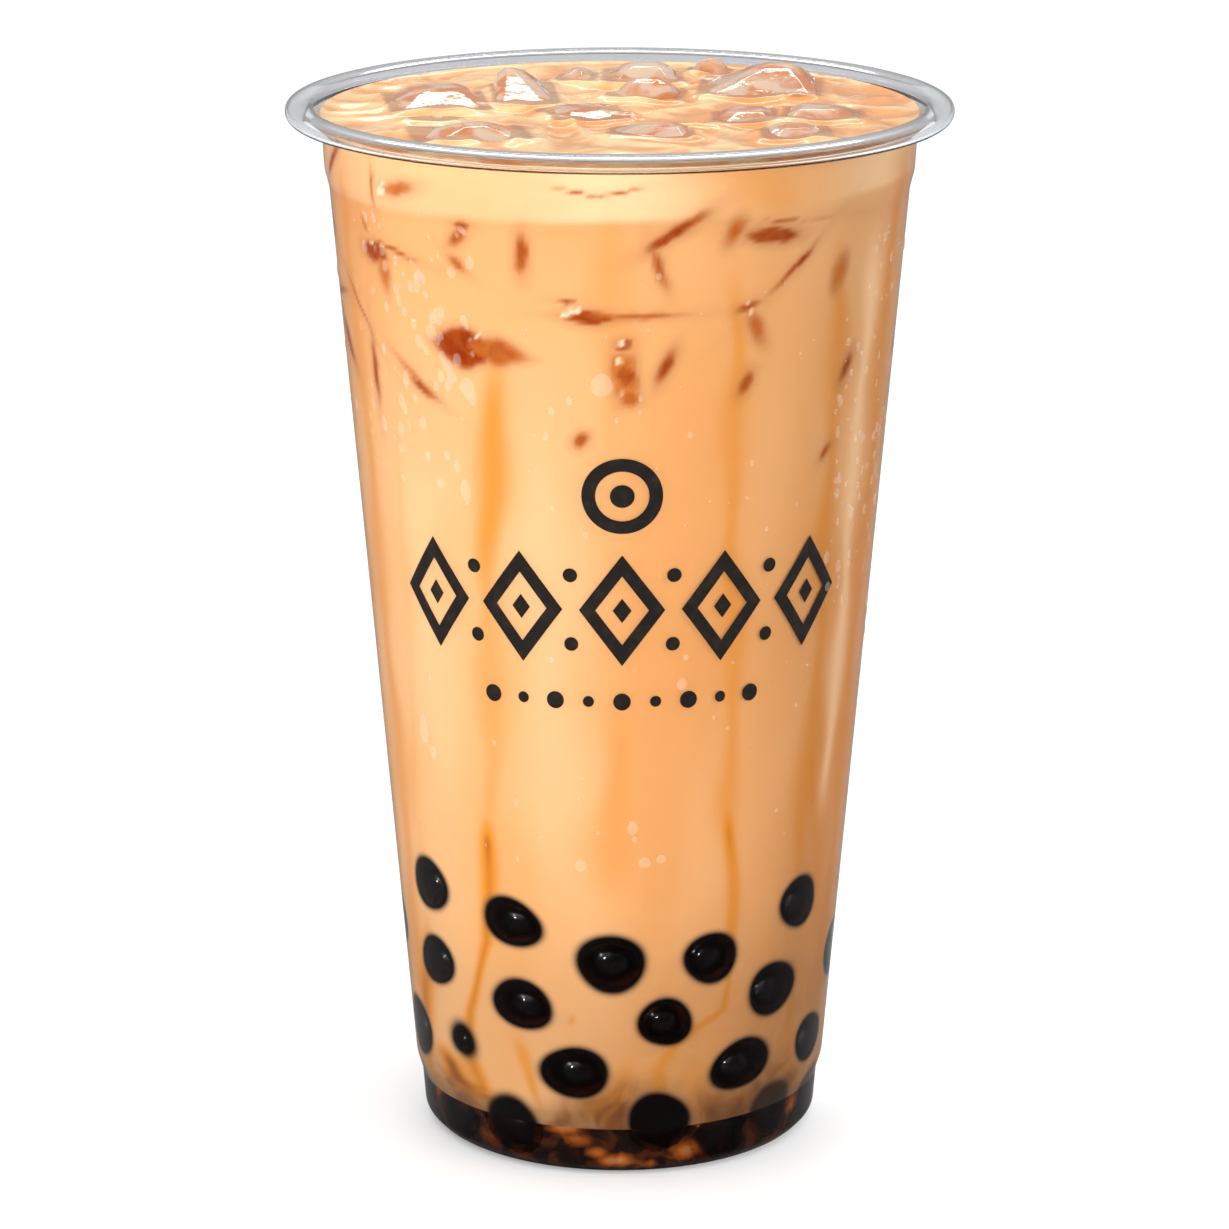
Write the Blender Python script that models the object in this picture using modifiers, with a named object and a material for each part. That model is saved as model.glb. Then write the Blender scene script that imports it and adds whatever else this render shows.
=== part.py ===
"""Iced milk tea with tapioca pearls in a clear plastic cup, in metres, +Z up.

The cup stands on the floor at the origin. It is one turned shell with a rolled rim, a neck
with a step, a tapered body and a stepped foot round a raised base. The drink fills it almost
to the rim. Ice floats in its top, loose pearls lie against the wall, and a settled layer of
pearls in syrup fills the foot.
"""

import math
import random

import bmesh
import bpy
from mathutils import Matrix, Vector

TURN_STEPS = 48
GAP = 0.0003
MERGE_DISTANCE = 0.00001
SHARPEST_MITRE = 0.5
FACES_DOWN = -0.5
CUTTER_REACH = 0.0020

CUP_HEIGHT = 0.157
RIM_RADIUS = 0.049
RIM_BAND = 0.0042
RIM_DEPTH = 0.0028
RIM_SQUARENESS = 2.5
RIM_CURL_START = 150.0
RIM_CURL_END = -115.0
RIM_CURL_POINTS = 8
WALL = 0.0005

BASE_RISE = 0.0022
BASE_RISE_RADIUS = 0.0240
STAND_INNER_RADIUS = 0.0262
STAND_OUTER_RADIUS = 0.0284

# Outside of the wall as (radius, height): the corner's top, the foot's top, the body's two
# ends, the neck's two ends and the throat below the rolled rim.
OUTER_WALL = (
    (0.02990, 0.0018),
    (0.03036, 0.0075),
    (0.03120, 0.0102),
    (0.04268, 0.1446),
    (0.04335, 0.1472),
    (0.04368, 0.1528),
    (0.04425, 0.1547),
)

DRINK_LEVEL = 0.1550
LAYER_TOP = 0.0068
LAYER_FLOOR = BASE_RISE + GAP

PEARL_RADIAL = 0.0043
PEARL_SEAT = 0.0025
PEARL_INSET = 0.0001
PEARL_SUBDIVISIONS = 2

# Pearls seen against the wall in front: angle from the front in degrees, height, width and
# height across, and tilt in degrees.
FRONT_PEARLS = (
    (-57.0, 0.0420, 0.0092, 0.0074, -14.0),
    (-28.3, 0.0397, 0.0096, 0.0070, 8.0),
    (-56.8, 0.0298, 0.0090, 0.0070, -12.0),
    (-2.2, 0.0344, 0.0102, 0.0083, 0.0),
    (-26.6, 0.0267, 0.0098, 0.0072, 12.0),
    (24.1, 0.0344, 0.0085, 0.0074, -8.0),
    (52.6, 0.0399, 0.0086, 0.0074, 8.0),
    (44.7, 0.0272, 0.0096, 0.0077, 12.0),
    (12.1, 0.0248, 0.0076, 0.0076, 20.0),
    (-12.3, 0.0166, 0.0101, 0.0077, 5.0),
    (35.1, 0.0162, 0.0102, 0.0076, -10.0),
    (-72.7, 0.0164, 0.0092, 0.0088, 0.0),
    (-47.6, 0.0184, 0.0064, 0.0062, 10.0),
    (65.0, 0.0160, 0.0088, 0.0070, 0.0),
    (-85.5, 0.0318, 0.0090, 0.0078, 0.0),
    (79.5, 0.0280, 0.0088, 0.0080, 0.0),
)

# Rows of pearls round the back: height, first angle, step between pearls and their number.
BACK_ROWS = (
    (0.0170, 104.0, 50.0, 4),
    (0.0290, 116.0, 64.0, 3),
    (0.0405, 112.0, 96.0, 2),
)
BACK_ANGLE_JITTER = 5.0
BACK_HEIGHT_JITTER = 0.0020
BACK_TILT_JITTER = 20.0
BACK_PEARL_WIDTHS = (0.0088, 0.0100)
BACK_PEARL_FLATNESS = 0.86
BACK_SEED = 7

# Pearls of the settled layer that show through the foot: angle from the front and height.
LAYER_PEARLS = (
    (-78.0, 0.0056),
    (-54.0, 0.0062),
    (-32.0, 0.0076),
    (-10.0, 0.0056),
    (11.0, 0.0088),
    (30.0, 0.0054),
    (48.5, 0.0074),
    (71.0, 0.0058),
    (95.0, 0.0062),
    (125.0, 0.0054),
    (155.0, 0.0070),
    (185.0, 0.0056),
    (215.0, 0.0072),
    (246.0, 0.0054),
)
LAYER_PEARL_SIZE = 0.0094
LAYER_TURN_STEP = 15.0
LAYER_SEAT = 0.0036
LAYER_INSET = 0.0002
PRESS_FLOOR = LAYER_FLOOR + 0.0006

ICE_DRAFT = 0.0070
ICE_BEVEL = 0.0009

# Ice at the drink's top: centre x and y, width and depth at the level, turn in degrees,
# then the peak's offset x and y from the centre, its rise, and its width and depth.
ICE_PIECES = (
    (-0.0272, 0.0062, 0.0145, 0.0165, 8.0, 0.0010, 0.0040, 0.0022, 0.0070, 0.0050),
    (-0.0142, 0.0118, 0.0092, 0.0200, 4.0, -0.0018, 0.0070, 0.0034, 0.0030, 0.0030),
    (-0.0064, 0.0270, 0.0056, 0.0085, -6.0, 0.0000, 0.0010, 0.0018, 0.0030, 0.0050),
    (0.0035, 0.0278, 0.0118, 0.0125, 0.0, 0.0005, 0.0030, 0.0024, 0.0050, 0.0040),
    (0.0138, 0.0352, 0.0062, 0.0056, -10.0, 0.0000, 0.0008, 0.0022, 0.0026, 0.0030),
    (0.0212, 0.0190, 0.0180, 0.0170, -4.0, 0.0026, 0.0052, 0.0032, 0.0050, 0.0038),
    (0.0182, -0.0068, 0.0090, 0.0105, 0.0, 0.0008, 0.0024, 0.0014, 0.0050, 0.0040),
    (0.0296, -0.0050, 0.0114, 0.0105, -6.0, -0.0010, 0.0020, 0.0015, 0.0060, 0.0040),
    (0.0250, -0.0212, 0.0098, 0.0098, 6.0, 0.0000, 0.0020, 0.0016, 0.0046, 0.0040),
    (0.0045, -0.0194, 0.0120, 0.0086, -3.0, 0.0016, 0.0014, 0.0014, 0.0056, 0.0030),
    (-0.0214, -0.0222, 0.0165, 0.0115, 12.0, 0.0010, 0.0024, 0.0018, 0.0040, 0.0030),
    (-0.0268, -0.0100, 0.0068, 0.0048, -8.0, 0.0000, 0.0004, 0.0010, 0.0034, 0.0022),
    (-0.0052, -0.0040, 0.0115, 0.0115, 20.0, 0.0000, 0.0020, 0.0012, 0.0060, 0.0050),
    (0.0040, 0.0122, 0.0108, 0.0088, -12.0, 0.0000, 0.0018, 0.0026, 0.0050, 0.0030),
)

CLEAR_PLASTIC = ("clear_plastic", (0.90, 0.93, 0.95, 1.0), 0.05, 0.30)
MILK_TEA = ("milk_tea", (0.87, 0.58, 0.32, 1.0), 0.30, 1.0)
TAPIOCA = ("tapioca", (0.012, 0.005, 0.004, 1.0), 0.12, 1.0)
SYRUP_LAYER = ("syrup_layer", (0.045, 0.016, 0.008, 1.0), 0.18, 1.0)
CLEAR_ICE = ("clear_ice", (0.80, 0.84, 0.88, 1.0), 0.08, 0.55)


def clear_scene():
    """Remove every object, so that the model starts from an empty scene."""
    for scene_object in list(bpy.data.objects):
        bpy.data.objects.remove(scene_object, do_unlink=True)


def new_collection(name):
    """Return a new collection linked to the scene."""
    collection = bpy.data.collections.new(name)
    bpy.context.scene.collection.children.link(collection)
    return collection


def make_material(name, colour, roughness, alpha):
    """Return a Principled material with one colour, roughness and alpha."""
    material = bpy.data.materials.new(name)
    material.use_nodes = True
    shader = material.node_tree.nodes["Principled BSDF"]
    shader.inputs["Base Color"].default_value = colour
    shader.inputs["Roughness"].default_value = roughness
    shader.inputs["Metallic"].default_value = 0.0
    shader.inputs["Alpha"].default_value = alpha
    return material


def add_object(name, mesh, collection, finish=None):
    """Link a mesh to a collection as an object with its own material."""
    scene_object = bpy.data.objects.new(name, mesh)
    collection.objects.link(scene_object)
    if finish is not None:
        mesh.materials.append(make_material(*finish))
    return scene_object


def make_cutter(scene_object):
    """Mark an object as a cutter, drawn as wire and left out of renders."""
    scene_object.hide_render = True
    scene_object.display_type = "WIRE"


def remove_collection(collection):
    """Remove a collection and the objects in it."""
    for scene_object in list(collection.objects):
        bpy.data.objects.remove(scene_object, do_unlink=True)
    bpy.data.collections.remove(collection)


def turned_object(name, outline, collection, finish=None):
    """Turn an open outline of (radius, height) points round the Z axis.

    The outline starts and ends on the axis and runs down its outer side.
    """
    mesh = bpy.data.meshes.new(name)
    points = [(radius, 0.0, height) for radius, height in outline]
    edges = [(index, index + 1) for index in range(len(points) - 1)]
    mesh.from_pydata(points, edges, [])
    turned = add_object(name, mesh, collection, finish)
    screw = turned.modifiers.new("Turn", "SCREW")
    screw.axis = "Z"
    screw.angle = math.tau
    screw.steps = TURN_STEPS
    screw.render_steps = TURN_STEPS
    screw.use_merge_vertices = True
    screw.merge_threshold = MERGE_DISTANCE
    screw.use_smooth_shade = False
    return turned


def apply_modifiers(scene_object):
    """Replace an object's mesh with the result of its modifiers."""
    depsgraph = bpy.context.evaluated_depsgraph_get()
    evaluated = scene_object.evaluated_get(depsgraph)
    mesh = bpy.data.meshes.new_from_object(evaluated, depsgraph=depsgraph)
    scene_object.modifiers.clear()
    scene_object.data = mesh


def add_boolean(scene_object, operation, collection):
    """Add a Boolean with all of a collection's objects."""
    boolean = scene_object.modifiers.new(operation.title(), "BOOLEAN")
    boolean.operation = operation
    boolean.operand_type = "COLLECTION"
    boolean.collection = collection
    boolean.solver = "EXACT"


def outer_radius(height):
    """Return the radius of the wall's outside at a height."""
    if height <= OUTER_WALL[0][1]:
        return OUTER_WALL[0][0]
    for (low_radius, low), (high_radius, high) in zip(OUTER_WALL, OUTER_WALL[1:]):
        if height <= high:
            share = (height - low) / (high - low)
            return low_radius + share * (high_radius - low_radius)
    return OUTER_WALL[-1][0]


def fill_radius(height):
    """Return the radius that the contents reach at a height, clear of the wall."""
    return outer_radius(height) - WALL - GAP


def rim_centre_line():
    """Return the middle of the rolled rim's sheet, from the throat over to the lip's end."""
    half_band = (RIM_BAND - WALL) / 2.0
    half_depth = (RIM_DEPTH - WALL) / 2.0
    centre_radius = RIM_RADIUS - RIM_BAND / 2.0
    centre_height = CUP_HEIGHT - RIM_DEPTH / 2.0
    power = 2.0 / RIM_SQUARENESS
    line = []
    for index in range(RIM_CURL_POINTS):
        share = index / (RIM_CURL_POINTS - 1)
        angle = math.radians(RIM_CURL_START + share * (RIM_CURL_END - RIM_CURL_START))
        across = math.copysign(abs(math.cos(angle)) ** power, math.cos(angle))
        up = math.copysign(abs(math.sin(angle)) ** power, math.sin(angle))
        line.append((centre_radius + half_band * across, centre_height + half_depth * up))
    return line


def cup_centre_line():
    """Return the middle of the cup's sheet from the base's centre to the lip's end."""
    half = WALL / 2.0
    line = [
        (0.0, BASE_RISE - half),
        (BASE_RISE_RADIUS, BASE_RISE - half),
        (STAND_INNER_RADIUS, half),
        (STAND_OUTER_RADIUS - half, half),
    ]
    line += [(radius - half, height) for radius, height in OUTER_WALL]
    return line + rim_centre_line()


def offset_line(line, distance):
    """Return a line moved to its left by a distance, with mitred corners."""
    moved = []
    for index, (radius, height) in enumerate(line):
        before = Vector(line[max(index - 1, 0)])
        here = Vector((radius, height))
        after = Vector(line[min(index + 1, len(line) - 1)])
        incoming = (here - before).normalized() if index else (after - here).normalized()
        outgoing = (after - here).normalized() if index < len(line) - 1 else incoming
        left_in = Vector((-incoming.y, incoming.x))
        left_out = Vector((-outgoing.y, outgoing.x))
        mitre = (left_in + left_out).normalized()
        point = here + mitre * (distance / max(mitre.dot(left_in), SHARPEST_MITRE))
        moved.append((max(point.x, 0.0) if index else 0.0, point.y))
    return moved


def build_cup(collection):
    """Build the cup as one turned sheet with an inside and an outside."""
    line = cup_centre_line()
    inside = offset_line(line, WALL / 2.0)
    outside = offset_line(line, -WALL / 2.0)
    return turned_object("cup", inside + outside[::-1], collection, CLEAR_PLASTIC)


def pearl_frame(angle, height, seat, tilt):
    """Return the place and turn of a pearl whose local -Y faces out through the wall."""
    radius = fill_radius(height) - seat
    turn = Matrix.Rotation(math.radians(angle), 4, "Z")
    lean = Matrix.Rotation(math.radians(tilt), 4, "Y")
    return turn @ Matrix.Translation((0.0, -radius, height)) @ lean


def pearl_mesh(name, frame, size, growth=0.0):
    """Return a rounded pearl of a size across, deep and high, grown all round."""
    mesh = bpy.data.meshes.new(name)
    shape = bmesh.new()
    scale = Matrix.Diagonal([extent / 2.0 + growth for extent in size]).to_4x4()
    bmesh.ops.create_icosphere(
        shape, subdivisions=PEARL_SUBDIVISIONS, radius=1.0, matrix=frame @ scale
    )
    shape.to_mesh(mesh)
    shape.free()
    return mesh


def press_to_wall(mesh, inset=0.0):
    """Flatten a pearl where it would pass the space that the cup leaves it."""
    for vertex in mesh.vertices:
        vertex.co.z = max(vertex.co.z, PRESS_FLOOR)
        limit = fill_radius(vertex.co.z) - inset
        radius = math.hypot(vertex.co.x, vertex.co.y)
        if radius > limit:
            vertex.co.x *= limit / radius
            vertex.co.y *= limit / radius


def back_pearls():
    """Return the pearls round the back, in staggered rows with a seeded unevenness."""
    draw = random.Random(BACK_SEED)
    pearls = []
    for height, first, step, count in BACK_ROWS:
        for index in range(count):
            angle = first + index * step + draw.uniform(-BACK_ANGLE_JITTER, BACK_ANGLE_JITTER)
            place = height + draw.uniform(-BACK_HEIGHT_JITTER, BACK_HEIGHT_JITTER)
            width = draw.uniform(*BACK_PEARL_WIDTHS)
            tilt = draw.uniform(-BACK_TILT_JITTER, BACK_TILT_JITTER)
            pearls.append((angle, place, width, width * BACK_PEARL_FLATNESS, tilt))
    return pearls


def build_pearls(collection, cutters):
    """Build the loose pearls that lie against the wall, each with its cutter."""
    for index, pearl in enumerate(FRONT_PEARLS + tuple(back_pearls()), start=1):
        angle, height, width, tall, tilt = pearl
        frame = pearl_frame(angle, height, PEARL_SEAT, tilt)
        size = (width, 2.0 * PEARL_RADIAL, tall)
        mesh = pearl_mesh(f"pearl_{index:02d}", frame, size)
        press_to_wall(mesh, PEARL_INSET)
        add_object(f"pearl_{index:02d}", mesh, collection, TAPIOCA)
        make_cutter(add_object("pearl_cut", pearl_mesh("pearl_cut", frame, size, GAP), cutters))


def layer_outline(top, growth):
    """Return the outline of the settled layer's core up to a height."""
    foot_bottom = OUTER_WALL[0][1]
    foot_edge = STAND_OUTER_RADIUS - WALL - GAP + growth
    floor = WALL + GAP
    return [
        (0.0, top),
        (fill_radius(top) + growth, top),
        (fill_radius(foot_bottom) + growth, foot_bottom),
        (foot_edge, floor - growth),
        (STAND_INNER_RADIUS + WALL, floor - growth),
        (BASE_RISE_RADIUS + WALL, LAYER_FLOOR - growth),
        (0.0, LAYER_FLOOR - growth),
    ]


def build_layer(collection, cutters):
    """Build the settled layer: a core in the foot with its ring of pearls fused on."""
    layer = turned_object("pearl_layer", layer_outline(LAYER_TOP, 0.0), collection, SYRUP_LAYER)
    make_cutter(turned_object("layer_cut", layer_outline(LAYER_TOP + GAP, CUTTER_REACH), cutters))
    lumps = new_collection("layer lumps")
    for index, (angle, height) in enumerate(LAYER_PEARLS):
        frame = pearl_frame(angle, height, LAYER_SEAT, index * LAYER_TURN_STEP)
        size = (LAYER_PEARL_SIZE,) * 3
        lump = pearl_mesh("lump", frame, size)
        press_to_wall(lump, LAYER_INSET)
        add_object("lump", lump, lumps)
        make_cutter(add_object("lump_cut", pearl_mesh("lump_cut", frame, size, GAP), cutters))
    add_boolean(layer, "UNION", lumps)
    apply_modifiers(layer)
    remove_collection(lumps)


def build_drink(collection, cutters):
    """Build the drink up to its level, cut round the ice, the pearls and the layer."""
    heights = [height for _, height in OUTER_WALL if LAYER_TOP < height < DRINK_LEVEL]
    side = [(fill_radius(height), height) for height in reversed(heights)]
    outline = [(0.0, DRINK_LEVEL), (fill_radius(DRINK_LEVEL), DRINK_LEVEL)]
    outline += side + [(fill_radius(LAYER_TOP), LAYER_TOP), (0.0, LAYER_TOP)]
    drink = turned_object("milk_tea", outline, collection, MILK_TEA)
    add_boolean(drink, "DIFFERENCE", cutters)


def ice_mesh(name, piece, growth=0.0):
    """Return a chunk of ice: a block with its top drawn in to an off-centre peak."""
    x, y, width, depth, turn, peak_x, peak_y, rise, peak_width, peak_depth = piece
    mesh = bpy.data.meshes.new(name)
    shape = bmesh.new()
    bmesh.ops.create_cube(shape, size=1.0)
    for vertex in shape.verts:
        top = vertex.co.z > 0.0
        across = (peak_width if top else width) + 2.0 * growth
        deep = (peak_depth if top else depth) + 2.0 * growth
        vertex.co.x = vertex.co.x * across + (peak_x if top else 0.0)
        vertex.co.y = vertex.co.y * deep + (peak_y if top else 0.0)
        vertex.co.z = rise + growth if top else growth
    shape.normal_update()
    underside = [face for face in shape.faces if face.normal.z < FACES_DOWN]
    sunk = bmesh.ops.extrude_face_region(shape, geom=underside)
    bottom = [item for item in sunk["geom"] if isinstance(item, bmesh.types.BMVert)]
    bmesh.ops.translate(shape, verts=bottom, vec=(0.0, 0.0, -ICE_DRAFT - 2.0 * growth))
    bmesh.ops.delete(shape, geom=underside, context="FACES_ONLY")
    rounded = [edge for edge in shape.edges if not set(edge.verts) <= set(bottom)]
    bmesh.ops.bevel(shape, geom=rounded, offset=ICE_BEVEL, segments=1, affect="EDGES")
    bmesh.ops.recalc_face_normals(shape, faces=list(shape.faces))
    turned = Matrix.Rotation(math.radians(turn), 4, "Z")
    shape.transform(Matrix.Translation((x, y, DRINK_LEVEL)) @ turned)
    shape.to_mesh(mesh)
    shape.free()
    return mesh


def build_ice(collection, cutters):
    """Build the ice that stands out of the drink, each piece with its cutter."""
    for index, piece in enumerate(ICE_PIECES, start=1):
        name = f"ice_{index:02d}"
        add_object(name, ice_mesh(name, piece), collection, CLEAR_ICE)
        make_cutter(add_object("ice_cut", ice_mesh("ice_cut", piece, GAP), cutters))


def main():
    """Build the whole drink."""
    clear_scene()
    parts = new_collection("bubble_tea")
    cutters = new_collection("cutters")
    build_cup(parts)
    build_layer(parts, cutters)
    build_pearls(parts, cutters)
    build_ice(parts, cutters)
    build_drink(parts, cutters)


main()
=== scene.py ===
"""The looks of an iced milk tea with tapioca pearls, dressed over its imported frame.

Metres, +Z up. The cup stands on the floor at the origin and the camera looks along +Y. Places on
the wall are given by an angle in degrees, from the front towards +X, and a height.
"""

import logging
import math
import random
from contextlib import contextmanager
from dataclasses import dataclass
from enum import Enum
from typing import Iterator, Sequence

import bpy
import numpy as np
from mathutils import Matrix, Vector, geometry, noise

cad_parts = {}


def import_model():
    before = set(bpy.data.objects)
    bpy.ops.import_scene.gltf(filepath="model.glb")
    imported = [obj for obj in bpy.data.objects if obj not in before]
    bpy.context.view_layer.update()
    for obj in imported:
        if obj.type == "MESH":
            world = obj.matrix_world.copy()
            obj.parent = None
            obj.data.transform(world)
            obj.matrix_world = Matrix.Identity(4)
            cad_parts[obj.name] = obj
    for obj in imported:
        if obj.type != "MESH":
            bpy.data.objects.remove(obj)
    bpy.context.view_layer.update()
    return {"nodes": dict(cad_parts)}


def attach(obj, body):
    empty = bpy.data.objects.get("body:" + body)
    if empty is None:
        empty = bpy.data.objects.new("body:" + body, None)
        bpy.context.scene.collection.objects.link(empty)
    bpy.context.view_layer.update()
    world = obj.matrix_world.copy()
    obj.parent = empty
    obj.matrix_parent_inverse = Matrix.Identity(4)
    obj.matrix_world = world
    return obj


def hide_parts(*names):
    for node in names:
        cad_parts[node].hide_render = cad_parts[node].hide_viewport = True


LOG = logging.getLogger("milk_tea")
ROOT = "root"
MM = 0.001
MERGE = 0.000002
# How far hidden steps of the drink lean or stand off, so that no faces lie in one plane.
DRAFT = 0.0002
# Fixes the waves of the folds and the ice, which would start from the clock without it.
NOISE_SEED = 7

Colour = tuple[float, float, float, float]
Outline = list[tuple[float, float]]


class Slot(Enum):
    """The record's material slots."""

    PLASTIC = "clear_plastic"
    TEA = "milk_tea"
    TAPIOCA = "tapioca"
    SYRUP = "syrup_pearls"
    ICE = "clear_ice"


def srgb(red: float, green: float, blue: float) -> Colour:
    """Return a colour given as display values from 0 to 255 in the linear form of shaders."""
    channels = []
    for value in (red, green, blue):
        share = value / 255.0
        channels.append(share / 12.92 if share <= 0.04045 else ((share + 0.055) / 1.055) ** 2.4)
    return (channels[0], channels[1], channels[2], 1.0)


def smooth(values: np.ndarray, start: float, end: float) -> np.ndarray:
    """Return 0 at start and 1 at end with a soft step between them, where end may be lower."""
    share = np.clip((values - start) / (end - start), 0.0, 1.0)
    return share * share * (3.0 - 2.0 * share)


def bell(values: np.ndarray, centre: float, width: float) -> np.ndarray:
    """Return 1 at a centre, which fades to a third at a width from it and on to 0."""
    return np.exp(-(((values - centre) / width) ** 2))


def turned_from(angles: np.ndarray, angle: float | np.ndarray) -> np.ndarray:
    """Return how far angles in degrees lie from another, from -180 to 180."""
    return (angles - angle + 180.0) % 360.0 - 180.0


def ripple(first: np.ndarray, second: np.ndarray, seed: float) -> np.ndarray:
    """Return a smooth unevenness of about -1 to 1 over two coordinates in radians."""
    return 0.4 * (
        np.sin(first + 1.7 * seed + 0.8 * np.sin(second + seed))
        + np.sin(0.7 * second - 2.3 * seed + 1.1 * np.sin(0.6 * first - seed))
        + 0.6 * np.sin(1.9 * first + 1.3 * second + 0.9 * seed)
    )


class Tone:
    """A number inside a material, so that shader maths is written as Python arithmetic."""

    def __init__(self, recipe: "Recipe", socket: bpy.types.NodeSocket) -> None:
        """Wrap an output socket of a recipe's node."""
        self.recipe = recipe
        self.socket = socket

    def __add__(self, other: "Tone | float") -> "Tone":
        """Add."""
        return self.recipe.maths("ADD", self, other)

    __radd__ = __add__

    def __sub__(self, other: "Tone | float") -> "Tone":
        """Subtract another value."""
        return self.recipe.maths("SUBTRACT", self, other)

    def __rsub__(self, other: float) -> "Tone":
        """Subtract this from a number."""
        return self.recipe.maths("SUBTRACT", other, self)

    def __mul__(self, other: "Tone | float") -> "Tone":
        """Multiply."""
        return self.recipe.maths("MULTIPLY", self, other)

    __rmul__ = __mul__

    def between(self, low: float, high: float) -> "Tone":
        """Return 0 below low and 1 above high, with a soft step between."""
        settings = {"interpolation_type": "SMOOTHSTEP"}
        values = {"Value": self, "From Min": low, "From Max": high}
        made = self.recipe.node("ShaderNodeMapRange", settings, values)
        return Tone(self.recipe, made.outputs[0])


@dataclass(frozen=True)
class Cloud:
    """A noise pattern, with a scale in cells a metre and values of about 0.3 to 0.7.

    Limits, if it has them, are the values that become 0 and 1.
    """

    scale: float
    detail: float = 2.0
    distortion: float = 0.0
    limits: tuple[float, float] | None = None


class Recipe:
    """The nodes that a material or a world is made of."""

    def __init__(self, owner: bpy.types.ID, coordinates: str = "Object") -> None:
        """Start with an empty tree."""
        self.owner = owner
        self.owner.use_nodes = True
        self.tree = owner.node_tree
        self.tree.nodes.clear()
        self.place = self.node("ShaderNodeTexCoord").outputs[coordinates]

    @classmethod
    def material(cls, name: str) -> "Recipe":
        """Start a new material."""
        return cls(bpy.data.materials.new(name))

    def node(
        self,
        kind: str,
        settings: dict[str, object] | None = None,
        sockets: dict[str | int, object] | None = None,
    ) -> bpy.types.Node:
        """Add a node.

        Args:
            kind: The node's type name.
            settings: Its properties, which are set first.
            sockets: Values or links of its inputs, by name or number.

        Returns:
            The node.
        """
        made = self.tree.nodes.new(kind)
        for name, value in (settings or {}).items():
            setattr(made, name, value)
        for key, value in (sockets or {}).items():
            if isinstance(value, Tone):
                value = value.socket
            if isinstance(value, bpy.types.NodeSocket):
                self.tree.links.new(value, made.inputs[key])
            else:
                made.inputs[key].default_value = value
        return made

    def maths(self, operation: str, first: Tone | float, second: Tone | float) -> Tone:
        """Return the result of a Math node."""
        made = self.node("ShaderNodeMath", {"operation": operation}, {0: first, 1: second})
        return Tone(self, made.outputs[0])

    def attribute(self, name: str) -> Tone:
        """Return a number that the piece's mesh holds at each vertex."""
        return Tone(self, self.node("ShaderNodeAttribute", {"attribute_name": name}).outputs["Fac"])

    def cloud(self, pattern: Cloud, upwards: float = 1.0) -> Tone:
        """Return a noise pattern, drawn out upwards where its scale that way is below 1."""
        place = self.place
        if upwards != 1.0:
            sockets = {"Vector": place, "Scale": (1.0, 1.0, upwards)}
            place = self.node("ShaderNodeMapping", None, sockets).outputs[0]
        sockets = {"Scale": pattern.scale, "Detail": pattern.detail}
        sockets |= {"Distortion": pattern.distortion, "Vector": place}
        values = Tone(self, self.node("ShaderNodeTexNoise", None, sockets).outputs["Fac"])
        return values.between(*pattern.limits) if pattern.limits else values

    def blend(self, share: Tone | float, first: object, second: object) -> bpy.types.NodeSocket:
        """Return a colour between two colours."""
        sockets = {0: share, 6: first, 7: second}
        return self.node("ShaderNodeMix", {"data_type": "RGBA"}, sockets).outputs[2]

    def bump(self, height: Tone, depth: float) -> bpy.types.NodeSocket:
        """Return a normal that a height of 0 to 1 over a depth in metres tilts."""
        sockets = {"Height": height, "Distance": depth, "Strength": 1.0}
        return self.node("ShaderNodeBump", None, sockets).outputs[0]

    def principled(self, sockets: dict[str | int, object]) -> bpy.types.NodeSocket:
        """Return a Principled shader."""
        return self.node("ShaderNodeBsdfPrincipled", None, sockets).outputs[0]

    def mixed(self, share: object, first: object, second: object) -> bpy.types.NodeSocket:
        """Return a shader between two shaders."""
        return self.node("ShaderNodeMixShader", None, {0: share, 1: first, 2: second}).outputs[0]

    def finish(self, surface: bpy.types.NodeSocket) -> bpy.types.Material:
        """Connect the surface and return the material."""
        self.node("ShaderNodeOutputMaterial", None, {"Surface": surface})
        return self.owner

    def opaque(self, sockets: dict[str | int, object]) -> bpy.types.Material:
        """Return the material of a Principled surface."""
        return self.finish(self.principled(sockets))

    def clear(
        self, sockets: dict[str | int, object], tint: Colour, camera_only: bool = False
    ) -> bpy.types.Material:
        """Return the material of a clear surface that lamps shine through.

        Args:
            sockets: What its Principled surface is set to.
            tint: The colour of the light that passes it unbent.
            camera_only: Whether all rays but the camera's pass it, so that it makes no caustics.

        Returns:
            The material.
        """
        surface = self.principled(sockets)
        passed = self.node("ShaderNodeBsdfTransparent", None, {"Color": tint}).outputs[0]
        rays = self.node("ShaderNodeLightPath").outputs
        if camera_only:
            return self.finish(self.mixed(rays["Is Camera Ray"], passed, surface))
        return self.finish(self.mixed(rays["Is Shadow Ray"], surface, passed))


@dataclass(frozen=True)
class ClearPlastic:
    """Thin clear cup plastic, faintly cool, with the slight waves of a formed sheet and a painted
    dark grey shade round its neck.
    """

    tint: Colour = (0.88, 0.895, 0.91, 1.0)
    neck_painted_shade: Colour = (0.52, 0.51, 0.52, 1.0)
    shadow_tint: Colour = (0.97, 0.97, 0.97, 1.0)
    glare: Colour = (0.09, 0.09, 0.10, 1.0)
    ior: float = 1.5
    roughness: float = 0.015
    waves: Cloud = Cloud(60.0, 1.0)
    wave_upwards: float = 0.25
    wave_depth: float = 0.00003

    def build(self) -> bpy.types.Material:
        """Return the material."""
        recipe = Recipe.material("clear cup plastic")
        waves = recipe.cloud(self.waves, self.wave_upwards)
        # Painted shade: the ring of the neck above the drink is tinted dark grey.
        return recipe.clear(
            {
                "Base Color": recipe.blend(recipe.attribute("neck"), self.tint, self.neck_painted_shade),
                "Roughness": self.roughness,
                "IOR": self.ior,
                "Specular Tint": self.glare,
                "Transmission Weight": 1.0,
                "Normal": recipe.bump(waves, self.wave_depth),
            },
            self.shadow_tint,
        )


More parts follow.
